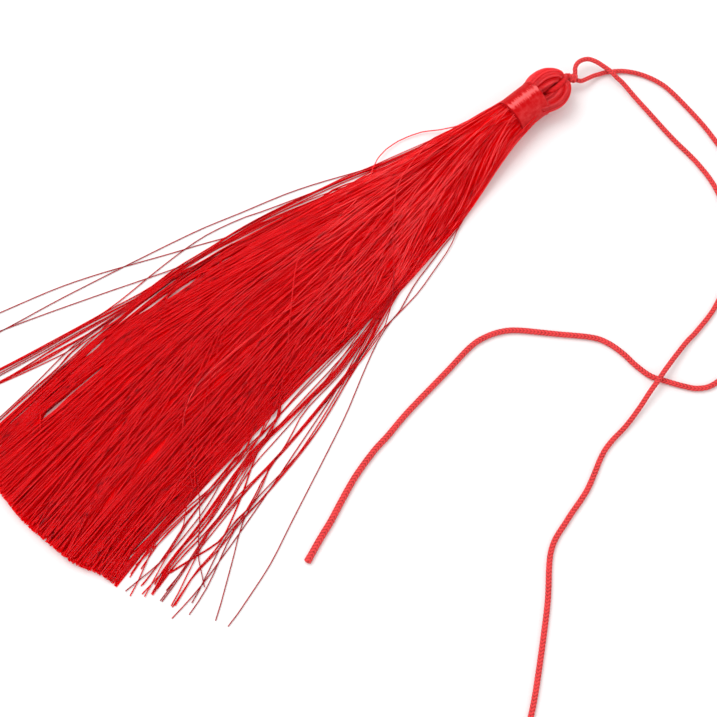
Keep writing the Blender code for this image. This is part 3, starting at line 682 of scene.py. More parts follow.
def thread_tree():
    """Sweeps a round thread along every line of a mesh, as thick as swell says at each point."""
    tree, given = new_tree("Threads Along Lines", (
        ("Thread Diameter", "Float"), ("Sides", "Int"), ("Material", "Material")))
    lines = add_node(tree, "GeometryNodeMeshToCurve", {"Mesh": given["Geometry"]})
    swell = add_node(tree, "GeometryNodeInputNamedAttribute", {"Name": "swell"},
                     data_type="FLOAT").outputs["Attribute"]
    size = math_node(tree, "MULTIPLY", swell, given["Thread Diameter"])
    sized = add_node(tree, "GeometryNodeSetCurveRadius",
                     {"Curve": store_run(tree, lines.outputs["Curve"]),
                      "Radius": math_node(tree, "MULTIPLY", size, 0.5)})
    tube = sweep(tree, sized.outputs["Curve"], thread_section(tree, 1.0, given["Sides"]),
                 given["Material"])
    if "Scale" in tube.inputs:
        radius = add_node(tree, "GeometryNodeInputRadius", {})
        feed(tree, tube, {"Scale": radius.outputs["Radius"]})
    return tree


def winding_tree():
    """One layer of turns wound along +X: a spiral, a little uneven, swept with a thread."""
    numbers = ("Radius", "Width", "Start", "Turns", "Thread Diameter", "Unevenness", "Seed")
    tree, given = new_tree("Wound Turns", (
        *((name, "Float") for name in numbers), ("Sides", "Int"), ("Material", "Material")))
    spiral = add_node(tree, "GeometryNodeCurveSpiral", {
        "Resolution": TURN_POINTS, "Rotations": given["Turns"], "Height": given["Width"],
        "Start Radius": given["Radius"], "End Radius": given["Radius"]})
    shift = add_node(tree, "ShaderNodeCombineXYZ", {"X": given["Start"]})
    laid = add_node(tree, "GeometryNodeTransform", {
        "Geometry": spiral.outputs["Curve"], "Translation": shift.outputs["Vector"],
        "Rotation": (0.0, math.pi / 2, 0.0)})
    noise = add_node(tree, "ShaderNodeTexNoise", {
        "Scale": UNEVEN_SCALE, "Detail": 1.0, "W": given["Seed"]}, noise_dimensions="4D")
    aside = vector_node(tree, "SUBTRACT", {0: noise.outputs["Color"], 1: (0.5, 0.5, 0.5)})
    aside = vector_node(tree, "SCALE", {0: aside, "Scale": given["Unevenness"]})
    moved = add_node(tree, "GeometryNodeSetPosition",
                     {"Geometry": laid.outputs["Geometry"], "Offset": aside})
    radius = math_node(tree, "MULTIPLY", given["Thread Diameter"], 0.5)
    sweep(tree, store_run(tree, moved.outputs["Geometry"]),
          thread_section(tree, radius, given["Sides"]), given["Material"])
    return tree


def grown(obj, tree, values):
    """The object's mesh as the tree makes it, on a plain object with no modifier left."""
    modifier = obj.modifiers.new(tree.name, "NODES")
    modifier.node_group = tree
    for item in tree.interface.items_tree:
        if item.item_type == "SOCKET" and item.in_out == "INPUT" and item.name in values:
            modifier[item.identifier] = values[item.name]
    evaluated = obj.evaluated_get(bpy.context.evaluated_depsgraph_get())
    mesh = bpy.data.meshes.new_from_object(evaluated)
    mesh.name = obj.name
    obj.modifiers.remove(modifier)
    old = obj.data
    obj.data = mesh
    bpy.data.meshes.remove(old)
    return obj


def threads_piece(name, lines, values, diameter, sides, material):
    """A piece of threads, one for each line of points. values holds a number for each point:
    tone, lone, the share of painted gap light, and swell, which thins or thickens a thread."""
    edges = []
    first = 0
    for line in lines:
        edges += [(k, k + 1) for k in range(first, first + len(line) - 1)]
        first += len(line)
    mesh = bpy.data.meshes.new(name)
    mesh.from_pydata(np.concatenate(lines).tolist(), edges, [])
    for key, numbers in values.items():
        store_numbers(mesh, key, np.concatenate(numbers))
    tree = bpy.data.node_groups.get("Threads Along Lines") or thread_tree()
    return grown(new_object(name, mesh, None), tree,
                 {"Thread Diameter": diameter, "Sides": sides, "Material": material})


# The skirt

GOLDEN = 0.6180339887           # spreads the threads' depths evenly
FLOW_RATE = 0.055               # how fast the uppermost threads part by the neck, a mm
FLOW_FADE = 60.0                # reach in which that slackens (mm)
BUNDLE_SHARE = 0.054            # from bundle to bundle at the neck, in shares of its half width
BUNDLE_SLANT = 0.08             # slope of the lesser bundles across the flow
BUNDLE_WIDTH = 0.70             # where bundles are wider than this, they divide (mm)
FILL = 1.25                     # makes up for what a tube with few sides lacks in thickness
NEIGHBOURS = 34                 # threads on each side that one can press on
PRESS = 0.36                    # share of an overlap that a round takes away, for each thread
STIFFNESS = 0.15                # how much a thread straightens in a round
SKIRT_START = -2.5              # where the threads start, inside the binding (mm)
TAKE_OVER = 12.0                # reach in which a loose thread gets to its first point (mm)
CORE_END = 130.0                # how far the inside of the mass reaches (mm)
CORE_COLUMNS = 36
LOOSE_SWELL = 0.78              # thickness of a loose thread on the mass, against the mass's

FLATTENS = (2.0, 26.0)          # reach in which the round hank becomes a low heap (mm)
SWELLS = (0.0, 30.0)            # reach in which threads get thick and lie more freely (mm)
LOOSENS = (0.0, 40.0)           # reach in which they begin to wander (mm)
WAVES = ((150.0, 0.05), (64.0, 0.036), (26.0, 0.017))   # how they wander: wavelength (mm), size
HEAP_FALL, HEAP_ROUND = 2.6, 0.55               # powers in the heap's section
MARGIN_LANES, MARGIN_REACH = (0.55, 0.85), (40.0, 70.0)     # where the left margin thins out
MARGIN_LOSS = 0.6               # share of its height that it loses there
CROWDING = 0.10                 # how much closer the threads lie by the middle
DEPTHS, DEPTH_CHANCE = 0.8, 0.12                # the share of the height that the mass fills
ANCHORS = (6.0, 142.0)          # reach at which a thread of the mass comes to the top (mm)
LEFT_LANE = 0.6                 # from there to the left edge threads wander less
LEFT_CALM = 0.4                 # how much they wander there
LEFT_INWARDS = 0.08             # how far some of them draw back from the edge, as a lane
RISING, RISING_OF = 4, 9        # of so many threads, so many come to the top somewhere
RISE_SPAN = 32.0                # half of the reach over which such a thread stays there (mm)
TOPS = (0.84, 1.02)             # how high it comes, in shares of the mass's height
FLOW_RIGHT, FLOW_LEFT = -0.75, 0.70             # lanes beyond which the flow is pressed together
PRESSED_RIGHT, PRESSED_LEFT = 0.24, 0.12        # lanes into which it is pressed there
FLOW_MIDDLE, FLOW_SHIFT = 0.48, 0.43            # lane where the flow parts, and how far that moves
FLOW_SHIFTS = (50.0, 85.0)      # reach in which it moves (mm)
STEEP = ((0.5, 1.25), (28.0, 46.0))             # lanes that a crossing thread drifts, and the
GENTLE = ((0.2, 0.9), (60.0, 110.0))            # reach in which it does (mm)
STEEP_EVERY = 4                 # how often a crossing thread is a steep one
BACKWARDS = 0.16                # share of the crossing threads that drift to the left
CROSSING_SIZE = 0.75            # thickness of a crossing thread, against the mass's
FIRM, FREE = 0.30, 0.06         # how firmly threads hold their places, at the neck and beyond it
LEFT_THE_MASS = (0.96, 1.04)    # lanes between which a thread gets the looks of a lone one
CORE_TONE = 0.35
NECK_TONE, END_FALL = 0.60, 0.36                # tone by the neck, and its fall to the cut ends
PAINTED_RELIEF, PAINTED_RELIEF_FADE = 2.2, 1.95            # painted shade in grooves, highlight on backs, and its fade
OWN_TONE, OWN_FADE = 0.60, 0.40                 # how threads differ, and how that fades
CROSSING_LIGHT, LOOSE_TONE = 0.26, 0.30          # painted light on a crossing thread, tone of a loose one
# Waves in the bundles' course: size (lanes at the middle), waves across, wavelength (mm)
WEAVES = ((0.22, 2.1, -31.0), (0.45, 1.2, 67.0))

Skirt = namedtuple("Skirt", "reach side height ends thin ridge alone below")


def fan_column(column, reach):
    table = np.array(FAN)
    return np.interp(reach, table[:, 0], table[:, column])


def smooth_step(value, low, high):
    share = np.clip((value - low) / (high - low), 0.0, 1.0)
    return share * share * (3 - 2 * share)


def section_heights(reach, lane):
    """Lowest and highest thread at that lane: a round hank at the neck, a low heap farther on."""
    neck = NECK.z / MM
    bulge = np.sqrt(np.clip(1.0 - lane ** 2, 0.02, 1.0))
    thickness = fan_column(3, reach)
    flat = smooth_step(reach, *FLATTENS)
    low = (1 - flat) * np.clip(neck - thickness / 2 * bulge, 0.0, None)
    heap = thickness * np.clip(1.0 - np.abs(lane) ** HEAP_FALL, 0.03, 1.0) ** HEAP_ROUND
    margin = MARGIN_LOSS * smooth_step(reach, *MARGIN_REACH) * smooth_step(lane, *MARGIN_LANES)
    heap = heap * (1 - margin)
    high = (1 - flat) * (neck + thickness / 2 * bulge) + flat * heap
    return low, high


def settle(side, height, size, grip, rounds):
    """Moves overlapping threads apart at each station, until they lie beside and on each other.

    All in mm, a row for each station and a column for each thread. size is each thread's
    thickness there, and grip is how firmly a station holds its threads to their places.
    """
    wanted_side, wanted_height = side.copy(), height.copy()
    for _ in range(rounds):
        order = np.argsort(side, axis=1)
        y = np.take_along_axis(side, order, 1)
        z = np.take_along_axis(height, order, 1)
        half = np.take_along_axis(size, order, 1) / 2
        move_y, move_z = np.zeros_like(y), np.zeros_like(z)
        for step in range(1, NEIGHBOURS):
            dy = y[:, step:] - y[:, :-step]
            if dy.min() > size.max():
                break
            dz = z[:, step:] - z[:, :-step]
            apart = np.sqrt(dy * dy + dz * dz) + 1e-6
            reach_out = half[:, step:] + half[:, :-step]
            push = np.clip(reach_out - apart, 0.0, None) / apart * PRESS
            move_y[:, step:] += dy * push
            move_y[:, :-step] -= dy * push
            move_z[:, step:] += dz * push
            move_z[:, :-step] -= dz * push
        back = np.argsort(order, axis=1)
        side += np.take_along_axis(move_y, back, 1) + grip * (wanted_side - side)
        height += np.take_along_axis(move_z, back, 1) + 0.5 * grip * (wanted_height - height)
        height = np.maximum(height, size / 2)
        side[1:-1] += STIFFNESS * (side[:-2] + side[2:] - 2 * side[1:-1])
        height[1:-1] += STIFFNESS * (height[:-2] + height[2:] - 2 * height[1:-1])
    return side, np.maximum(height, size / 2)


def flow_course(rate):
    """How the uppermost threads part from reach to reach: their spread, and the drift of the
    lane from which they part."""
    reach = np.arange(-4.0, 150.0)
    middle = FLOW_MIDDLE - FLOW_SHIFT * smooth_step(reach, *FLOW_SHIFTS)
    speed = rate * FLOW_RATE * np.exp(-reach / FLOW_FADE)
    spread = np.exp(np.cumsum(speed))
    return reach, spread, np.cumsum(speed * middle / spread)


def flow_origin(reach, lane):
    """A number that stays the same along each line of the flow."""
    grid, spread, drift = flow_course(1.0)
    return lane / np.interp(reach, grid, spread) + np.interp(reach, grid, drift)


def flow_lane(reach, anchor, lane, rate):
    """Lanes of an uppermost thread that passes through one lane at its anchor."""
    grid, spread, drift = flow_course(rate)
    origin = lane / np.interp(anchor, grid, spread) + np.interp(anchor, grid, drift)
    path = np.interp(reach, grid, spread) * (origin - np.interp(reach, grid, drift))
    over = np.clip(path - FLOW_LEFT, 0.0, None)
    under = np.clip(FLOW_RIGHT - path, 0.0, None)
    path = np.clip(path, FLOW_RIGHT, FLOW_LEFT)
    path = path + PRESSED_LEFT * np.tanh(over / PRESSED_LEFT)
    return path - PRESSED_RIGHT * np.tanh(under / PRESSED_RIGHT)


def mass_lanes(reach, threads, chance):
    """Lane and depth of each thread of the dense mass at each station.

    Nearly half of the threads come to the top somewhere. There they run with the flow, and
    before and after that they lie in their own lane inside the mass.
    """
    lanes = np.empty((len(reach), threads))
    depths = np.empty((len(reach), threads))
    loosen = smooth_step(reach, *LOOSENS)
    for i in range(threads):
        lane = -1 + 2 * (i + 0.5) / threads
        lane = lane * (1.0 - CROWDING * (1 - abs(lane)))
        calm, inwards = 1.0, 0.0
        if lane > LEFT_LANE:
            calm = LEFT_CALM
            inwards = LEFT_INWARDS * (i * GOLDEN % 1.0) * smooth_step(reach, 42.0, 82.0)
        depth = DEPTHS * ((i * GOLDEN + DEPTH_CHANCE * chance.random()) % 1.0)
        waves = np.zeros(len(reach))
        for wavelength, size in WAVES:
            phase = chance.random()
            turn = reach / (wavelength * chance.uniform(0.8, 1.3)) + phase
            waves += size * np.sin(TAU * turn)
        path = lane - inwards + loosen * waves * calm
        anchor = chance.uniform(*ANCHORS)
        aim = float(np.clip(lane + chance.uniform(-0.45, 0.45), -0.98, 0.98))
        free = flow_lane(reach, anchor, aim, chance.uniform(0.5, 1.5)) + 0.7 * waves * calm
        top = chance.uniform(*TOPS)
        if i % RISING_OF < RISING:
            window = np.exp(-np.abs((reach - anchor) / RISE_SPAN) ** 4)
            path = path + (free - path) * window * smooth_step(reach, -2.0, 6.0)
            depth = depth + (top - depth) * window
        lanes[:, i] = np.clip(path, -1.03, 1.03)
        depths[:, i] = depth
    return lanes, depths


def crossing_lanes(reach, threads, chance):
    """Lanes of the threads that cross over the mass, most of them towards its right edge, and
    how far each has risen out of the mass."""
    lanes = np.empty((len(reach), threads))
    risen = np.empty((len(reach), threads))
    for i in range(threads):
        lane = chance.uniform(-0.5, 0.6)
        start = chance.uniform(4.0, 90.0)
        drifts, spans = GENTLE if i % STEEP_EVERY else STEEP
        drift = chance.uniform(*drifts)
        span = chance.uniform(*spans)
        if chance.random() < BACKWARDS:
            drift = -0.4 * drift
        bow = chance.uniform(-0.03, 0.03)
        share = np.clip((reach - start) / span, 0.0, 1.0)
        path = lane - drift * (0.5 * share + 0.5 * smooth_step(share, 0.0, 1.0))
        path = path + bow * np.sin(TAU * reach / chance.uniform(50, 110))
        lanes[:, i] = np.clip(path, -0.99, 0.97)
        risen[:, i] = smooth_step(reach, start - 6.0, start + 6.0)
    return lanes, risen


def side_of(reach, lane):
    left, right = fan_column(1, reach), fan_column(2, reach)
    return right + (left - right) * (lane + 1) / 2


def taken_over(reach, lane, knots):
    """Side of a thread that lies in its lane first, and then passes through its own points."""
    line = smooth_line(np.column_stack((knots, np.zeros(len(knots)))), 0.5)
    own = np.interp(reach, line[:, 0], line[:, 1])
    take = smooth_step(reach, knots[0, 0] - TAKE_OVER, knots[0, 0])
    return side_of(reach, lane) * (1 - take) + own * take


def loose_paths(reach, chance):
    """Sides and ends of all the threads that lie apart, and how far each has left the mass."""
    sides = []
    ends = []
    risen = []
    for threads, lane, width, points in STRAYS:
        knots = np.array(points)
        first, last = knots[0, 0], knots[-1, 0]
        share = np.clip((reach - first) / (last - first), 0.0, 1.0)
        for k in range(threads):
            place = (k + 0.5) / threads - 0.5
            other = chance.uniform(-0.5, 0.5)
            sway = 0.3 * np.sin(TAU * (share * chance.uniform(0.8, 2.2) + chance.random()))
            across = place * share + other * (1 - share) + sway
            side = taken_over(reach, lane + 0.02 * place, knots)
            sides.append(side + across * width * smooth_step(reach, first - TAKE_OVER, first))
            ends.append(last - (3.0 * chance.random() if threads > 1 else 0.0))
            risen.append(smooth_step(reach, first - 25.0, first - 5.0))
    return np.array(sides).T, np.array(ends), np.array(risen).T


def part_slits(reach, side):
    """Moves the threads beside each slit away from its middle line."""
    for start, end, side_from, side_to, width in SLITS:
        share = ((reach - start) / (end - start))[:, None]
        middle = side_from + (side_to - side_from) * share
        lens = np.sqrt(np.clip(4 * share * (1 - share), 0.0, None))
        halfway = np.argmin(np.abs(share - 0.5))
        bank = np.where(side[halfway] < middle[halfway], -1.0, 1.0)
        away = (side - middle) * bank
        back = np.clip(-away, 0.0, None) * np.clip(3 * lens, 0.0, 1.0)
        near = np.exp(-np.clip(away, 0.0, None) / (1.6 * width))
        side = side + bank * (back + 0.5 * width * lens * near)
    return side


def lane_of(reach, side):
    """Where a thread lies across the mass at each station, from -1 to 1."""
    left, right = fan_column(1, reach), fan_column(2, reach)
    return (side - right) / (left - right) * 2 - 1


def mass_places(reach, settings, chance):
    """Side and height of the threads of the dense mass, before they settle."""
    lanes, depths = mass_lanes(reach[:, 0], settings.threads, chance)
    left, right = fan_column(1, reach), fan_column(2, reach)
    inset = 0.5 * settings.diameter / MM
    side = right + inset + (left - right - 2 * inset) * (lanes + 1) / 2
    low, high = section_heights(reach, np.clip(lanes, -1, 1))
    return side, low + (high - low) * depths


def upper_height(reach, lane, risen, inside):
    """Height of the threads that lie on the mass, and of those beside it."""
    low, high = section_heights(reach, np.clip(lane, -1, 1))
    resting = 0.25 + 3.6 * (1 - smooth_step(reach, 0.0, FLATTENS[1])) * (lane < 0)
    height = low + (high - low) * (0.5 + 0.5 * risen) + 0.4 * risen
    return height * inside + resting * (1 - inside)


def mass_ends(last_side, settings, chance):
    """Where the threads of the mass are cut: unevenly, in a line that is straighter than an arc."""
    ends = np.sqrt((settings.skirt / MM) ** 2 - (last_side - NECK.y / MM) ** 2)
    ends -= np.array([chance.random() ** 1.5 for _ in last_side]) * settings.ragged / MM
    ends += 1.2 * smooth_step(last_side, -12.0, 2.0)
    ends -= 2.5 * smooth_step(-last_side, 11.0, 21.5)
    return ends


def skirt_lines(settings):
    """All the skirt's threads, settled on the surface and on each other."""
    chance = random.Random(SEED)
    span = settings.skirt / MM - SKIRT_START
    stations = SKIRT_START + span * np.linspace(0.0, 1.0, settings.stations) ** 1.08
    reach = stations[:, None]
    cut = settings.threads + settings.crossing
    crossing, loose = slice(settings.threads, cut), slice(cut, None)

    side, height = mass_places(reach, settings, chance)
    lanes, crossing_risen = crossing_lanes(stations, settings.crossing, chance)
    loose_side, loose_ends, loose_risen = loose_paths(stations, chance)
    upper_side = np.hstack((side_of(reach, lanes), loose_side))
    risen = np.hstack((crossing_risen, loose_risen))
    lane = lane_of(reach, upper_side)
    inside = smooth_step(1.0 - np.abs(lane), -0.03, 0.05)
    side = np.hstack((side, upper_side))
    height = np.hstack((height, upper_height(reach, lane, risen, inside)))

    swelling = smooth_step(reach, *SWELLS)
    thin = 0.80 + 0.20 * swelling
    size = np.tile(settings.diameter / MM * thin, (1, side.shape[1]))
    own = inside[:, settings.crossing:]
    size[:, loose] *= own + (1 - own) * settings.lone / settings.diameter / thin
    size[:, crossing] *= CROSSING_SIZE
    grip = FIRM - (FIRM - FREE) * swelling
    side, height = settle(side, height, size, grip, settings.rounds)
    side[:, loose] = loose_side
    side = part_slits(stations, side)

    lane = lane_of(reach, side)
    inwards = 1 - np.abs(lane)
    relief = ridge_height(reach)
    ridge = bundle_ridges(reach, lane)
    ridge[:, loose] = smooth_step(inwards[:, loose], 0.06, 0.16)
    _, top = section_heights(reach, np.clip(lane, -1, 1))
    on_top = smooth_step(height / top, 0.45, 0.85)
    on_top[:, loose] = 0.0
    height = height + (ridge - 0.5) * relief * on_top
    over = smooth_step(inwards[:, loose], 0.20, 0.50) * loose_risen
    height[:, loose] += (0.28 + 0.8 * relief) * over
    height = np.maximum(height, size / 2)

    ends = np.concatenate((mass_ends(side[-1, :cut], settings, chance), loose_ends))
    alone = loneliness(side, height, settings.threads)
    alone = alone * smooth_step(np.abs(lane), *LEFT_THE_MASS)
    below = painted_gap_light(side, height, settings.threads)
    return Skirt(stations, side, height, ends, thin[:, 0], ridge, alone, below)


def bundle_ridges(reach, lane):
    """From 0 in the grooves between bundles to 1 on a bundle's back.

    Bundles run with the flow or a little aslant, and divide as they widen."""
    grid, spreads, _ = flow_course(1.0)
    half = (fan_column(1, reach) - fan_column(2, reach)) / 2
    level = np.log2(BUNDLE_SHARE * np.interp(reach, grid, spreads) * half / BUNDLE_WIDTH)
    halvings = np.floor(level)
    share = smooth_step(level - halvings, 0.2, 0.8)
    weave = sum(size * np.sin(TAU * (across * lane + reach / wavelength))
                for size, across, wavelength in WEAVES)
    ridge = 0.0
    for slant in (-1.0, 0.0, 1.0):
        origin = flow_origin(reach, lane + (weave + slant * BUNDLE_SLANT * reach) / half)
        own = 0.0
        for octave, weight in enumerate((1 - share, 1.0, share)):
            power = halvings + octave - 1
            turn = origin / BUNDLE_SHARE * 2 ** power + 0.37 * power
            own = own + 0.5 * weight * np.abs(np.cos(math.pi * turn)) ** 0.9
        patch = np.sin(TAU * (0.9 * lane + slant * (0.3 + reach / 41.0)))
        ridge = np.maximum(ridge, own - abs(slant) * (0.22 + 0.22 * patch))
    return ridge


def ridge_height(reach):
    rise = smooth_step(reach, 0.0, 5.0)
    return rise * (0.10 + 0.36 * (1 - smooth_step(reach, 30.0, 95.0)))


def loneliness(side, height, in_mass):
    """From 0 for a thread among others to 1 for one that lies well apart, at each station."""
    lone = np.zeros_like(side)
    for i in range(in_mass, side.shape[1]):
        gap = np.hypot(side - side[:, i:i + 1], height - height[:, i:i + 1])
        gap[:, i] = np.inf
        lone[:, i] = smooth_step(np.partition(gap, 1, axis=1)[:, 1], 0.30, 0.80)
    for _ in range(6):
        lone[1:-1] = 0.4 * lone[1:-1] + 0.3 * (lone[:-2] + lone[2:])
    return lone


def skirt_core(reach, side, height, material):
    """The inside of the mass, just under its uppermost threads: painted gap light shows between
    them.
    """
    rings = []
    stations = reach[(reach > -1.5) & (reach < CORE_END)]
    for at in stations:
        row = np.argmin(np.abs(reach - at))
        far = smooth_step(at, 20.0, 45.0)
        left = float(fan_column(1, at)) - 0.9 - 3.6 * far - 2.4 * smooth_step(at, 88.0, 100.0)
        right = float(fan_column(2, at)) + 0.9 + 1.6 * far
        across = np.linspace(right, left, CORE_COLUMNS)
        top = upper_skin(side[row], height[row], across)
        top = np.convolve(np.pad(top, 2, mode="edge"), np.full(5, 0.2), mode="valid")
        top = top - 0.5 + 0.18 * smooth_step(at, 20.0, 50.0)
        low, _ = section_heights(at, (across - right) / (left - right) * 2 - 1)
        bottom = low + 0.3
        middle = (top + bottom) / 2
        half = np.maximum((top - bottom) / 2, 0.02)
        half = half * np.sqrt(np.clip(1 - np.linspace(-1, 1, CORE_COLUMNS) ** 8, 0.01, 1.0))
        along = np.full(CORE_COLUMNS, NECK.x / MM - at)
        upper = np.column_stack((along, across, middle + half))
        lower = np.column_stack((along, across, middle - half))
        rings.append(np.vstack((upper, lower[::-1])))
    core = skin("skirt_core", np.array(rings) * MM, material, stations * MM, CORE_TONE)
    store_numbers(core.data, "below", np.ones(len(core.data.vertices)))
    return core


def upper_skin(side, height, places):
    """Height of the uppermost threads near each place across one station."""
    skin_heights = []
    for at in places:
        near = height[np.abs(side - at) < 0.4]
        skin_heights.append(np.sort(near)[-3:].mean() if len(near) > 3 else 0.3)
    return np.array(skin_heights)


def painted_gap_light(side, height, in_mass):
    """Share of painted gap light: 0 for a thread on top of the mass, 1 for one in a gap below
    others.
    """
    below = np.zeros_like(side)
    for row, mass in enumerate(side[:, :in_mass]):
        places = np.linspace(mass.min(), mass.max(), 120)
        top = np.interp(side[row], places, upper_skin(mass, height[row, :in_mass], places))
        below[row] = smooth_step(top - height[row], 0.05, 0.55)
    below[:, in_mass:] = 0.0
    return below


def thread_tones(settings, reach, ridge, chance):
    """Tone of each thread at each station: painted shade in the grooves between bundles, a painted
    highlight on their backs, painted light on crossing threads, and duller towards the cut ends.
    """
    fade = smooth_step(reach, 20.0, 90.0)
    base = NECK_TONE - END_FALL * smooth_step(reach, 0.0, 110.0)
    tones = []
    for i in range(ridge.shape[1]):
        own = chance.random() - 0.5
        if i < settings.threads:
            # Painted shade in the grooves between bundles, painted highlight on their backs.
            painted_relief = (ridge[:, i] - 0.72) * (PAINTED_RELIEF - PAINTED_RELIEF_FADE * fade)
            tones.append(base + (OWN_TONE - OWN_FADE * fade) * own + painted_relief)
        elif i < settings.threads + settings.crossing:
            # Painted light: a crossing thread lies on top and is lit more.
            tones.append(base + CROSSING_LIGHT + 0.3 * own)
        else:
            apart = smooth_step(reach, 10.0, 70.0)
            tone = base * (1 - apart) + LOOSE_TONE * apart
            tones.append(tone + 0.4 * own + 0.55 * ridge[:, i])
    return tones


def line_to_end(reach, side, height, end):
    """One thread's points in the model's frame, cut at its own end."""
    first, last = reach[0], reach[-1]
    own = first + (end - first) * (reach - first) / (last - first)
    y, z = np.interp(own, reach, side), np.interp(own, reach, height)
    return np.column_stack((NECK.x - own * MM, y * MM, z * MM))


# The head, made along +X from the skirt's end of the binding and then put in its place

# The folded hank seen from above: the edge of the eye and the outside of the crown, from the
# binding to beside the eye. From there both run round the eye.
# along, aside (mm)
EYE_EDGE = ((4.5, 0.16), (6.2, 0.22), (7.4, 0.32), (8.1, 0.38), (8.7, 0.43), (9.4, 0.46))
CROWN_EDGE = ((4.5, 4.0), (6.2, 4.3), (7.4, 4.7), (8.1, 4.88), (8.7, 5.0), (9.4, 5.05))
PINCH_WIDTH = 1.05              # half width of the bed that the cord has pulled (mm)
PINCH_ACROSS = 0.30             # how far the cord draws the folded hank in, shares of its size
PINCH_UPRIGHT = 0.30
ROLL = math.radians(26.0)       # how far the folded hank has turned round its own axis
ROLLED_WIDTH = 4.9              # half of the hank's width where it has turned (mm)
CROWN_STATIONS = 56
CROWN_SHELLS = ((1.0, 0.86), (0.88, 0.95), (0.76, 1.1))     # size, and pitch of its threads
CORE_SHELL = 0.66               # size of the crown's inside, in shares of the outer shell's
BINDING_REACH = 4.42            # the binding's lowest point, before it is pressed flat (mm)
STREAK_ANGLE = 81.0             # of the band's painted highlight, round it from its left side (degrees)
STREAK_WIDTH = 9.0              # from its middle to where it fades (degrees)
SATIN_TONE, STREAK_HIGHLIGHT = 0.40, 0.50            # the band's tone, and how much its painted highlight adds
BINDING_START = -1.6            # where the band starts, in the head's frame (mm)
SLEEVE_RIM = 0.12               # how far the lower turns stay behind the band's rim (mm)


def skirt_silk(settings):
    return bpy.data.materials.get("skirt_silk") or twisted_silk("skirt_silk", settings)


def edge_along(table, turns):
    """A table's points on one leg, then a half circle round the eye."""
    leg = np.array(table)
    fine = smooth_line(np.column_stack((leg, np.zeros(len(leg)))), 0.45)[:, :2]
    eye, radius = leg[-1]
    turn = np.linspace(math.pi / 2, -math.pi / 2, turns + 1)[1:-1]
    bend = np.column_stack((eye + radius * np.cos(turn), radius * np.sin(turn)))
    other = fine[::-1] * (1, -1)
    return np.vstack((fine, bend, other))


def fold_edges(stations):
    """The eye's edge and the crown's outside, with as many points on each."""
    return evenly(edge_along(EYE_EDGE, 16), stations), evenly(edge_along(CROWN_EDGE, 30), stations)


def fold_path(inner, outer, across, upright, settings):
    """One thread of the folded hank, at a place in its section: across and upright from -1 to 1."""
    share = ((across + 1) / 2)[:, None]
    flat = inner * (1 - share) + outer * share
    height = upright * settings.fold_half_height / MM
    eye = settings.eye / MM
    beyond = smooth_step(flat[:, 0], eye - 0.6, eye + 0.9)
    pinch = np.exp(-(flat[:, 1] / PINCH_WIDTH) ** 2) * beyond
    middle = (inner + outer) / 2
    flat = middle + (flat - middle) * (1 - PINCH_ACROSS * pinch)[:, None]
    height = height * (1 - PINCH_UPRIGHT * pinch)
    height = height * (0.80 + 0.20 * smooth_step(flat[:, 0], 6.3, 8.3))
    return rolled(np.column_stack((flat, height)), settings)


def rolled(points, settings):
    """Turns points of the fold round the head's axis, inside its own oval outline."""
    share = smooth_step(points[:, 0], 0.0, 6.5)
    tall = settings.fold_half_height / MM
    aside, up = points[:, 1] / ROLLED_WIDTH, points[:, 2] / tall
    turn = ROLL * share
    width = ROLLED_WIDTH * (1 - 0.07 * share)
    return np.column_stack((points[:, 0], (aside * np.cos(turn) - up * np.sin(turn)) * width,
                            (up * np.cos(turn) + aside * np.sin(turn)) * tall))


def in_place(points):
    """Points of the head's own frame, in mm, in the model's frame, pressed onto the surface."""
    points = np.array(points) * MM
    pressed = NECK.z / (BINDING_REACH * MM)
    points[:, 2] = np.where(points[:, 2] < 0, points[:, 2] * min(1.0, pressed), points[:, 2])
    matrix = np.array(HEAD)
    return points @ matrix[:3, :3].T + matrix[:3, 3]


def crown_lines(settings, diameter):
    """Lines of the crown's threads, in nested shells from the skin inwards, their tones, and
    the share of painted gap light for each: full on the inner shells.

    The outer threads lie in groups with a dark gap between them."""
    chance = random.Random(SEED + 2)
    inner, outer = fold_edges(CROWN_STATIONS)
    share = np.linspace(0.0, 1.0, CROWN_STATIONS)
    lines = []
    tones = []
    depths = []
    half_width = settings.fold_half_width / MM
    half_height = settings.fold_half_height / MM
    for shell, tightness in CROWN_SHELLS:
        around = math.pi * (half_width + half_height) * shell
        threads = int(around / (diameter / MM * tightness))
        for k in range(threads):
            group, rank = divmod(k, 2)
            place = 2 * group + 0.80 * rank if shell == 1.0 else k
            place = TAU * (place + 0.2 * chance.random()) / threads
            sway = 0.018 * math.sin(1.7 * group) + chance.uniform(-0.012, 0.012)
            phase = 0.31 * group
            place = place + sway * np.sin(TAU * (share * (0.8 + 0.3 * math.sin(group)) + phase))
            depth = shell * (1 - 0.015 * chance.random() - 0.025 * (group % 2))
            aside = np.cos(place)
            across = depth * np.sign(aside) * np.abs(aside) ** np.where(aside < 0, 0.55, 0.85)
            upright = depth * np.sin(place)
            lines.append(in_place(fold_path(inner, outer, across, upright, settings)))
            tones.append(np.full(CROWN_STATIONS, 0.78 + 0.4 * (chance.random() - 0.5)))
            # The inner shells get the painted gap light, as shade would fall on them.
            depths.append(np.full(CROWN_STATIONS, float(shell < 1.0)))
    return lines, tones, depths


def crown_core(settings, material):
    """The inside of the folded hank, under the shells of threads, in the painted gap light."""
    stations, sides = 40, 20
    inner, outer = fold_edges(stations)
    columns = []
    for turn in ring_angles(sides):
        across = np.full(stations, CORE_SHELL * math.cos(turn))
        upright = np.full(stations, CORE_SHELL * math.sin(turn))
        columns.append(in_place(fold_path(inner, outer, across, upright, settings)))
    rings = np.stack(columns, axis=1)
    core = skin("crown_core", rings, material, np.linspace(0.0, 20 * MM, stations), 0.2)
    store_numbers(core.data, "below", np.ones(stations * sides))
    return core


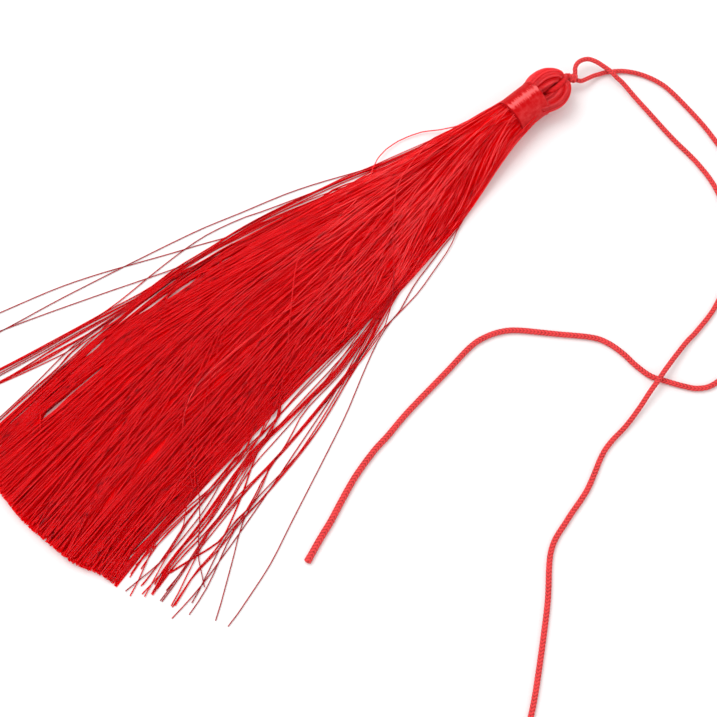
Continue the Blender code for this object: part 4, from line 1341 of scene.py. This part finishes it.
def mesh_points(mesh):
    points = np.empty(len(mesh.vertices) * 3, np.float32)
    mesh.vertices.foreach_get("co", points)
    return points.reshape(-1, 3).astype(float)


def move_mesh(mesh, points):
    mesh.vertices.foreach_set("co", np.ascontiguousarray(points, np.float32).ravel())
    mesh.update()


def binding_painted_light(points, settings):
    """How much painted light each point of the band gets: a painted highlight in a streak on
    top, jagged from turn to turn, and fainter painted light towards both flanks.
    """
    jag = np.random.default_rng(SEED).uniform(-1.0, 1.0, (2, 60))
    turn = np.clip(points[:, 0] / (settings.winding / MM) + 1, 0, 59).astype(int)
    angle = np.degrees(np.arctan2(points[:, 2], points[:, 1]))
    away = np.abs(angle - STREAK_ANGLE - 3.0 * jag[0, turn]) / (STREAK_WIDTH + 3.5 * jag[1, turn])
    painted_sheen = SATIN_TONE + STREAK_HIGHLIGHT * np.exp(-away ** 4)
    # Painted light on the flanks: light from the pale surface low on one side, a little on the
    # other.
    painted_sheen += 0.12 * (1 - smooth_step(angle, -10.0, 30.0)) + 0.07 * smooth_step(angle, 100.0, 120.0)
    # Painted shade in the crease by the skirt: the tone falls to nothing at the band's rim.
    return painted_sheen * smooth_step(points[:, 0], 0.05, 0.4)


def binding_sleeve(name, settings, material):
    """The lower turns, which close the gaps between the outer ones."""
    stations, sides = 24, 64
    radius = settings.binding_radius / MM - 2 * SLEEVE_RIM
    span = settings.binding_length / MM
    turn = ring_angles(sides)
    rings = []
    for k in range(stations):
        along = SLEEVE_RIM + (span - 2 * SLEEVE_RIM) * k / (stations - 1) + BINDING_START
        size = radius - SLEEVE_RIM * (2 * k / (stations - 1) - 1) ** 6
        rings.append(in_place(np.column_stack((np.full(sides, along), size * np.cos(turn),
                                               size * np.sin(turn)))))
    return skin(name, np.array(rings), material, np.linspace(0, span * MM, stations), 0.3)


# The bight and the knot

# The bight's strands, in the head's frame: over the fold from the eye to the knot. The lower
# strand is its mirror image.
# along, aside, height (mm)
BIGHT_ROUTE = (
    (8.6, 0.0, 0.0), (8.5, -0.1, 1.4), (8.65, -0.2, 2.5), (9.3, -0.25, 3.15), (10.3, -0.25, 3.4),
    (11.5, -0.2, 3.4), (12.5, -0.1, 3.1), (13.3, 0.0, 2.35), (13.9, 0.05, 1.45),
    (14.5, 0.08, 0.62), (15.2, -0.3, 0.05),
)

KNOT_START = Vector((73.95, -6.62, 3.75))
KNOT_END = Vector((75.95, -8.62, 3.15))
KNOT_TURNS = 2.6
KNOT_PHASE = 0.6                # where round the axis the first wrap starts (radians)
KNOT_STEPS = 44
KNOT_WRAP = 0.62                # from the knot's axis to the middle of a wrap (mm)
KNOT_SQUEEZE = 0.70             # the cord in a wrap, against its free thickness


def knot_points():
    """The middle of the cord as it wraps round the knot's axis, tucked in at both ends."""
    axis = KNOT_END - KNOT_START
    along = axis.normalized()
    aside = along.cross(Vector((0, 0, 1))).normalized()
    up = aside.cross(along)
    points = []
    for k in range(KNOT_STEPS + 1):
        share = k / KNOT_STEPS
        tuck = smooth_step(share, 0.0, 0.09) * (1 - smooth_step(share, 0.91, 1.0))
        turn = TAU * KNOT_TURNS * share + KNOT_PHASE
        out = KNOT_WRAP * (0.25 + 0.75 * tuck)
        middle = KNOT_START + axis * (0.16 + 0.68 * share)
        points.append(middle + aside * out * math.cos(turn) + up * out * math.sin(turn))
    return np.array(points)


# Operators

AIM = Vector((-3.5 * MM, -21.4 * MM, 0.0))      # what the camera faces
SENSOR = 36.0                   # width of the camera's sensor (mm)
FOCAL = 1900.0 / 717.0          # focal length, in shares of the sensor's width
LAMP = Vector((-0.03, 0.29, 0.64))
LAMP_SIZE = 0.4
SHEET = 3.0                     # length and width of the pale surface
PALE = (0.86, 0.86, 0.86, 1.0)
CROWN_SIDES = 6
TURN_SIDES = 10
UNEVENNESS = 0.07 * MM          # of the wound turns
OUTER_TURN = 1.5                # thickness of an outer turn, against the winding thread's
LAST_TURNS = 2.0                # turns that lie on top at the band's end by the crown
LAST_START = 3.0                # how far back from that end they start, in winding threads
LAST_WIDTH = 2.4                # how far they run along the band, in winding threads
SHORT_LEAD_IN = (75.7, -7.6, 3.3)               # where the tails start inside the knot (mm)
LONG_LEAD_IN = (75.5, -8.6, 3.1)


class TASSEL_OT_camera(bpy.types.Operator):
    """Place the camera"""
    bl_idname = "tassel.camera"
    bl_label = "Camera"

    def execute(self, context):
        settings = context.scene.tassel_stage
        away = Vector((math.sin(settings.heading), math.cos(settings.heading), 0.0))
        back = -away * math.cos(settings.elevation)
        back.z = math.sin(settings.elevation)
        camera = bpy.data.objects.new("camera", bpy.data.cameras.new("camera"))
        camera.data.sensor_width = SENSOR
        camera.data.lens = SENSOR * FOCAL
        camera.data.clip_start = 0.01
        camera.location = AIM + back * settings.distance
        camera.rotation_euler = (-back).to_track_quat("-Z", "Y").to_euler()
        context.scene.collection.objects.link(camera)
        context.scene.camera = camera
        return {"FINISHED"}


class TASSEL_OT_cord_tails(bpy.types.Operator):
    """Lay the two braided tails of the hanging cord"""
    bl_idname = "tassel.cord_tails"
    bl_label = "Cord Tails"

    def execute(self, context):
        settings = context.scene.tassel_cord
        material = braided_silk("braided_silk", settings)
        make_tail("cord_tail_short_braid", "cord_tail_short", SHORT_ROUTE, SHORT_LEAD_IN,
                  SHORT_THICKNESS, settings, material)
        make_tail("cord_tail_long_braid", "cord_tail_long", LONG_ROUTE, LONG_LEAD_IN,
                  LONG_THICKNESS, settings, material)
        return {"FINISHED"}


class TASSEL_OT_skirt(bpy.types.Operator):
    """Lay the skirt's threads in a fan on the surface"""
    bl_idname = "tassel.skirt"
    bl_label = "Skirt"

    def execute(self, context):
        settings = context.scene.tassel_threads
        silk = skirt_silk(settings)
        skirt = skirt_lines(settings)
        reach, side, height, alone = skirt.reach, skirt.side, skirt.height, skirt.alone
        core = skirt_core(reach, side[:, :settings.threads], height[:, :settings.threads], silk)
        belongs(core, "tassel_hank")
        tones = thread_tones(settings, reach, skirt.ridge, random.Random(SEED + 1))
        lone_size = settings.lone / settings.diameter
        filled = skirt.thin * (1.0 + (FILL - 1.0) * smooth_step(reach, 10.0, 50.0))
        groups = {"skirt_threads_right": [], "skirt_threads_middle": [],
                  "skirt_threads_left": [], "skirt_threads_loose": []}
        names = list(groups)
        for i in range(len(skirt.ends)):
            groups[names[min(3 * i // settings.threads, 3)]].append(i)
        for name, members in groups.items():
            upper = LOOSE_SWELL if name == "skirt_threads_loose" else 1.0
            values = {
                "tone": [tones[i] for i in members],
                "lone": [alone[:, i] for i in members],
                "below": [skirt.below[:, i] for i in members],
                "swell": [filled * upper * (1 - alone[:, i] * (1 - lone_size / upper))
                          for i in members]}
            lines = [line_to_end(reach, side[:, i], height[:, i], skirt.ends[i])
                     for i in members]
            piece = threads_piece(name, lines, values, settings.diameter, settings.sides, silk)
            belongs(piece, "tassel_hank")
        return {"FINISHED"}


class TASSEL_OT_crown(bpy.types.Operator):
    """Fold the hank's threads round the eye"""
    bl_idname = "tassel.crown"
    bl_label = "Crown"

    def execute(self, context):
        settings = context.scene.tassel_head
        threads = context.scene.tassel_threads
        silk = skirt_silk(threads)
        lines, tones, depths = crown_lines(settings, threads.diameter)
        values = {"tone": tones, "below": depths,
                  "swell": [np.full(len(line), 1.0) for line in lines]}
        crown = threads_piece("crown_threads", lines, values, threads.diameter, CROWN_SIDES,
                              silk)
        belongs(crown, "tassel_hank")
        belongs(crown_core(settings, silk), "tassel_hank")
        return {"FINISHED"}


class TASSEL_OT_binding(bpy.types.Operator):
    """Wind the binding round the neck"""
    bl_idname = "tassel.binding"
    bl_label = "Binding"

    def execute(self, context):
        settings = context.scene.tassel_head
        threads = context.scene.tassel_threads
        satin = wound_silk("binding_satin", threads)
        belongs(binding_sleeve("binding_sleeve", settings, satin), "binding")
        tree = winding_tree()
        thickness = OUTER_TURN * settings.winding
        radius = settings.binding_radius - thickness / 2
        span = settings.binding_length - settings.winding
        layers = (
            ("binding_turns", radius, settings.winding / 2, span, span / settings.winding),
            ("binding_last_turns", radius + 0.5 * settings.winding,
             settings.binding_length - LAST_START * settings.winding,
             LAST_WIDTH * settings.winding, LAST_TURNS),
        )
        for rank, (name, reach, start, width, turns) in enumerate(layers):
            blank = new_object(name, bpy.data.meshes.new(name), None)
            piece = grown(blank, tree, {
                "Radius": reach, "Width": width, "Start": start, "Turns": turns,
                "Thread Diameter": thickness, "Unevenness": UNEVENNESS, "Sides": TURN_SIDES,
                "Seed": float(rank), "Material": satin})
            points = mesh_points(piece.data) / MM
            store_numbers(piece.data, "tone", binding_painted_light(points, settings))
            move_mesh(piece.data, in_place(points + (BINDING_START, 0.0, 0.0)))
            belongs(piece, "binding")
        return {"FINISHED"}


class TASSEL_OT_bight_and_knot(bpy.types.Operator):
    """Lead the cord through the eye and knot it"""
    bl_idname = "tassel.bight_and_knot"
    bl_label = "Bight and Knot"

    def execute(self, context):
        settings = context.scene.tassel_cord
        material = bpy.data.materials["braided_silk"]
        upper = np.array(BIGHT_ROUTE)
        lower = upper[::-1] * (1, 1, -1)
        route = in_place(rolled(np.vstack((lower, upper[1:])), context.scene.tassel_head))
        bight = braided_cord("cord_bight_braid", smooth_line(route, BRAID_PITCH), settings,
                             material, tone=1.0)
        belongs(bight, "cord_bight")
        knot = braided_cord("knot_wraps", smooth_line(knot_points() * MM, BRAID_PITCH), settings,
                            material, KNOT_SQUEEZE)
        belongs(knot, "knot")
        return {"FINISHED"}


class TASSEL_OT_stage(bpy.types.Operator):
    """Add the pale surface and the soft lights"""
    bl_idname = "tassel.stage"
    bl_label = "Stage"

    def execute(self, context):
        settings = context.scene.tassel_stage
        scene = context.scene
        scene.view_settings.view_transform = "Standard"
        world = bpy.data.worlds.new("soft_sky")
        world.use_nodes = True
        background = world.node_tree.nodes["Background"]
        background.inputs["Color"].default_value = (1.0, 1.0, 1.0, 1.0)
        background.inputs["Strength"].default_value = settings.sky
        scene.world = world

        bm = bmesh.new()
        bmesh.ops.create_grid(bm, x_segments=1, y_segments=1, size=SHEET / 2)
        mesh = bpy.data.meshes.new("surface_sheet")
        bm.to_mesh(mesh)
        bm.free()
        paper, tree = new_material("pale_surface")
        feed(tree, tree.nodes["Principled BSDF"],
             {"Base Color": PALE, "Roughness": 0.9, "Specular IOR Level": 0.1})
        floor = new_object("surface_sheet", mesh, paper)

        light = bpy.data.lights.new("key_light", "AREA")
        light.energy = settings.key
        light.size = LAMP_SIZE
        lamp = bpy.data.objects.new("key_light", light)
        lamp.location = LAMP
        lamp.rotation_euler = (-lamp.location).to_track_quat("-Z", "Y").to_euler()
        scene.collection.objects.link(lamp)
        return {"FINISHED"}


class TASSEL_PT_pieces(bpy.types.Panel):
    """Buttons for the tassel's pieces"""
    bl_idname = "TASSEL_PT_pieces"
    bl_label = "Silk Tassel"
    bl_space_type = "VIEW_3D"
    bl_region_type = "UI"
    bl_category = "Tassel"

    def draw(self, context):
        for operator in OPERATORS:
            self.layout.operator(operator.bl_idname)


SETTINGS = (
    ("tassel_threads", TasselThreadSettings),
    ("tassel_head", TasselHeadSettings),
    ("tassel_cord", TasselCordSettings),
    ("tassel_stage", TasselStageSettings),
)
OPERATORS = (TASSEL_OT_camera, TASSEL_OT_cord_tails, TASSEL_OT_skirt, TASSEL_OT_crown,
             TASSEL_OT_binding, TASSEL_OT_bight_and_knot, TASSEL_OT_stage)


def register():
    for name, group in SETTINGS:
        bpy.utils.register_class(group)
        setattr(bpy.types.Scene, name, bpy.props.PointerProperty(type=group))
    for operator in OPERATORS:
        bpy.utils.register_class(operator)
    bpy.utils.register_class(TASSEL_PT_pieces)


def unregister():
    bpy.utils.unregister_class(TASSEL_PT_pieces)
    for operator in reversed(OPERATORS):
        bpy.utils.unregister_class(operator)
    for name, group in reversed(SETTINGS):
        delattr(bpy.types.Scene, name)
        bpy.utils.unregister_class(group)


def main():
    register()
    for operator in OPERATORS:
        group, name = operator.bl_idname.split(".")
        getattr(getattr(bpy.ops, group), name)()


if __name__ == "__main__":
    main()
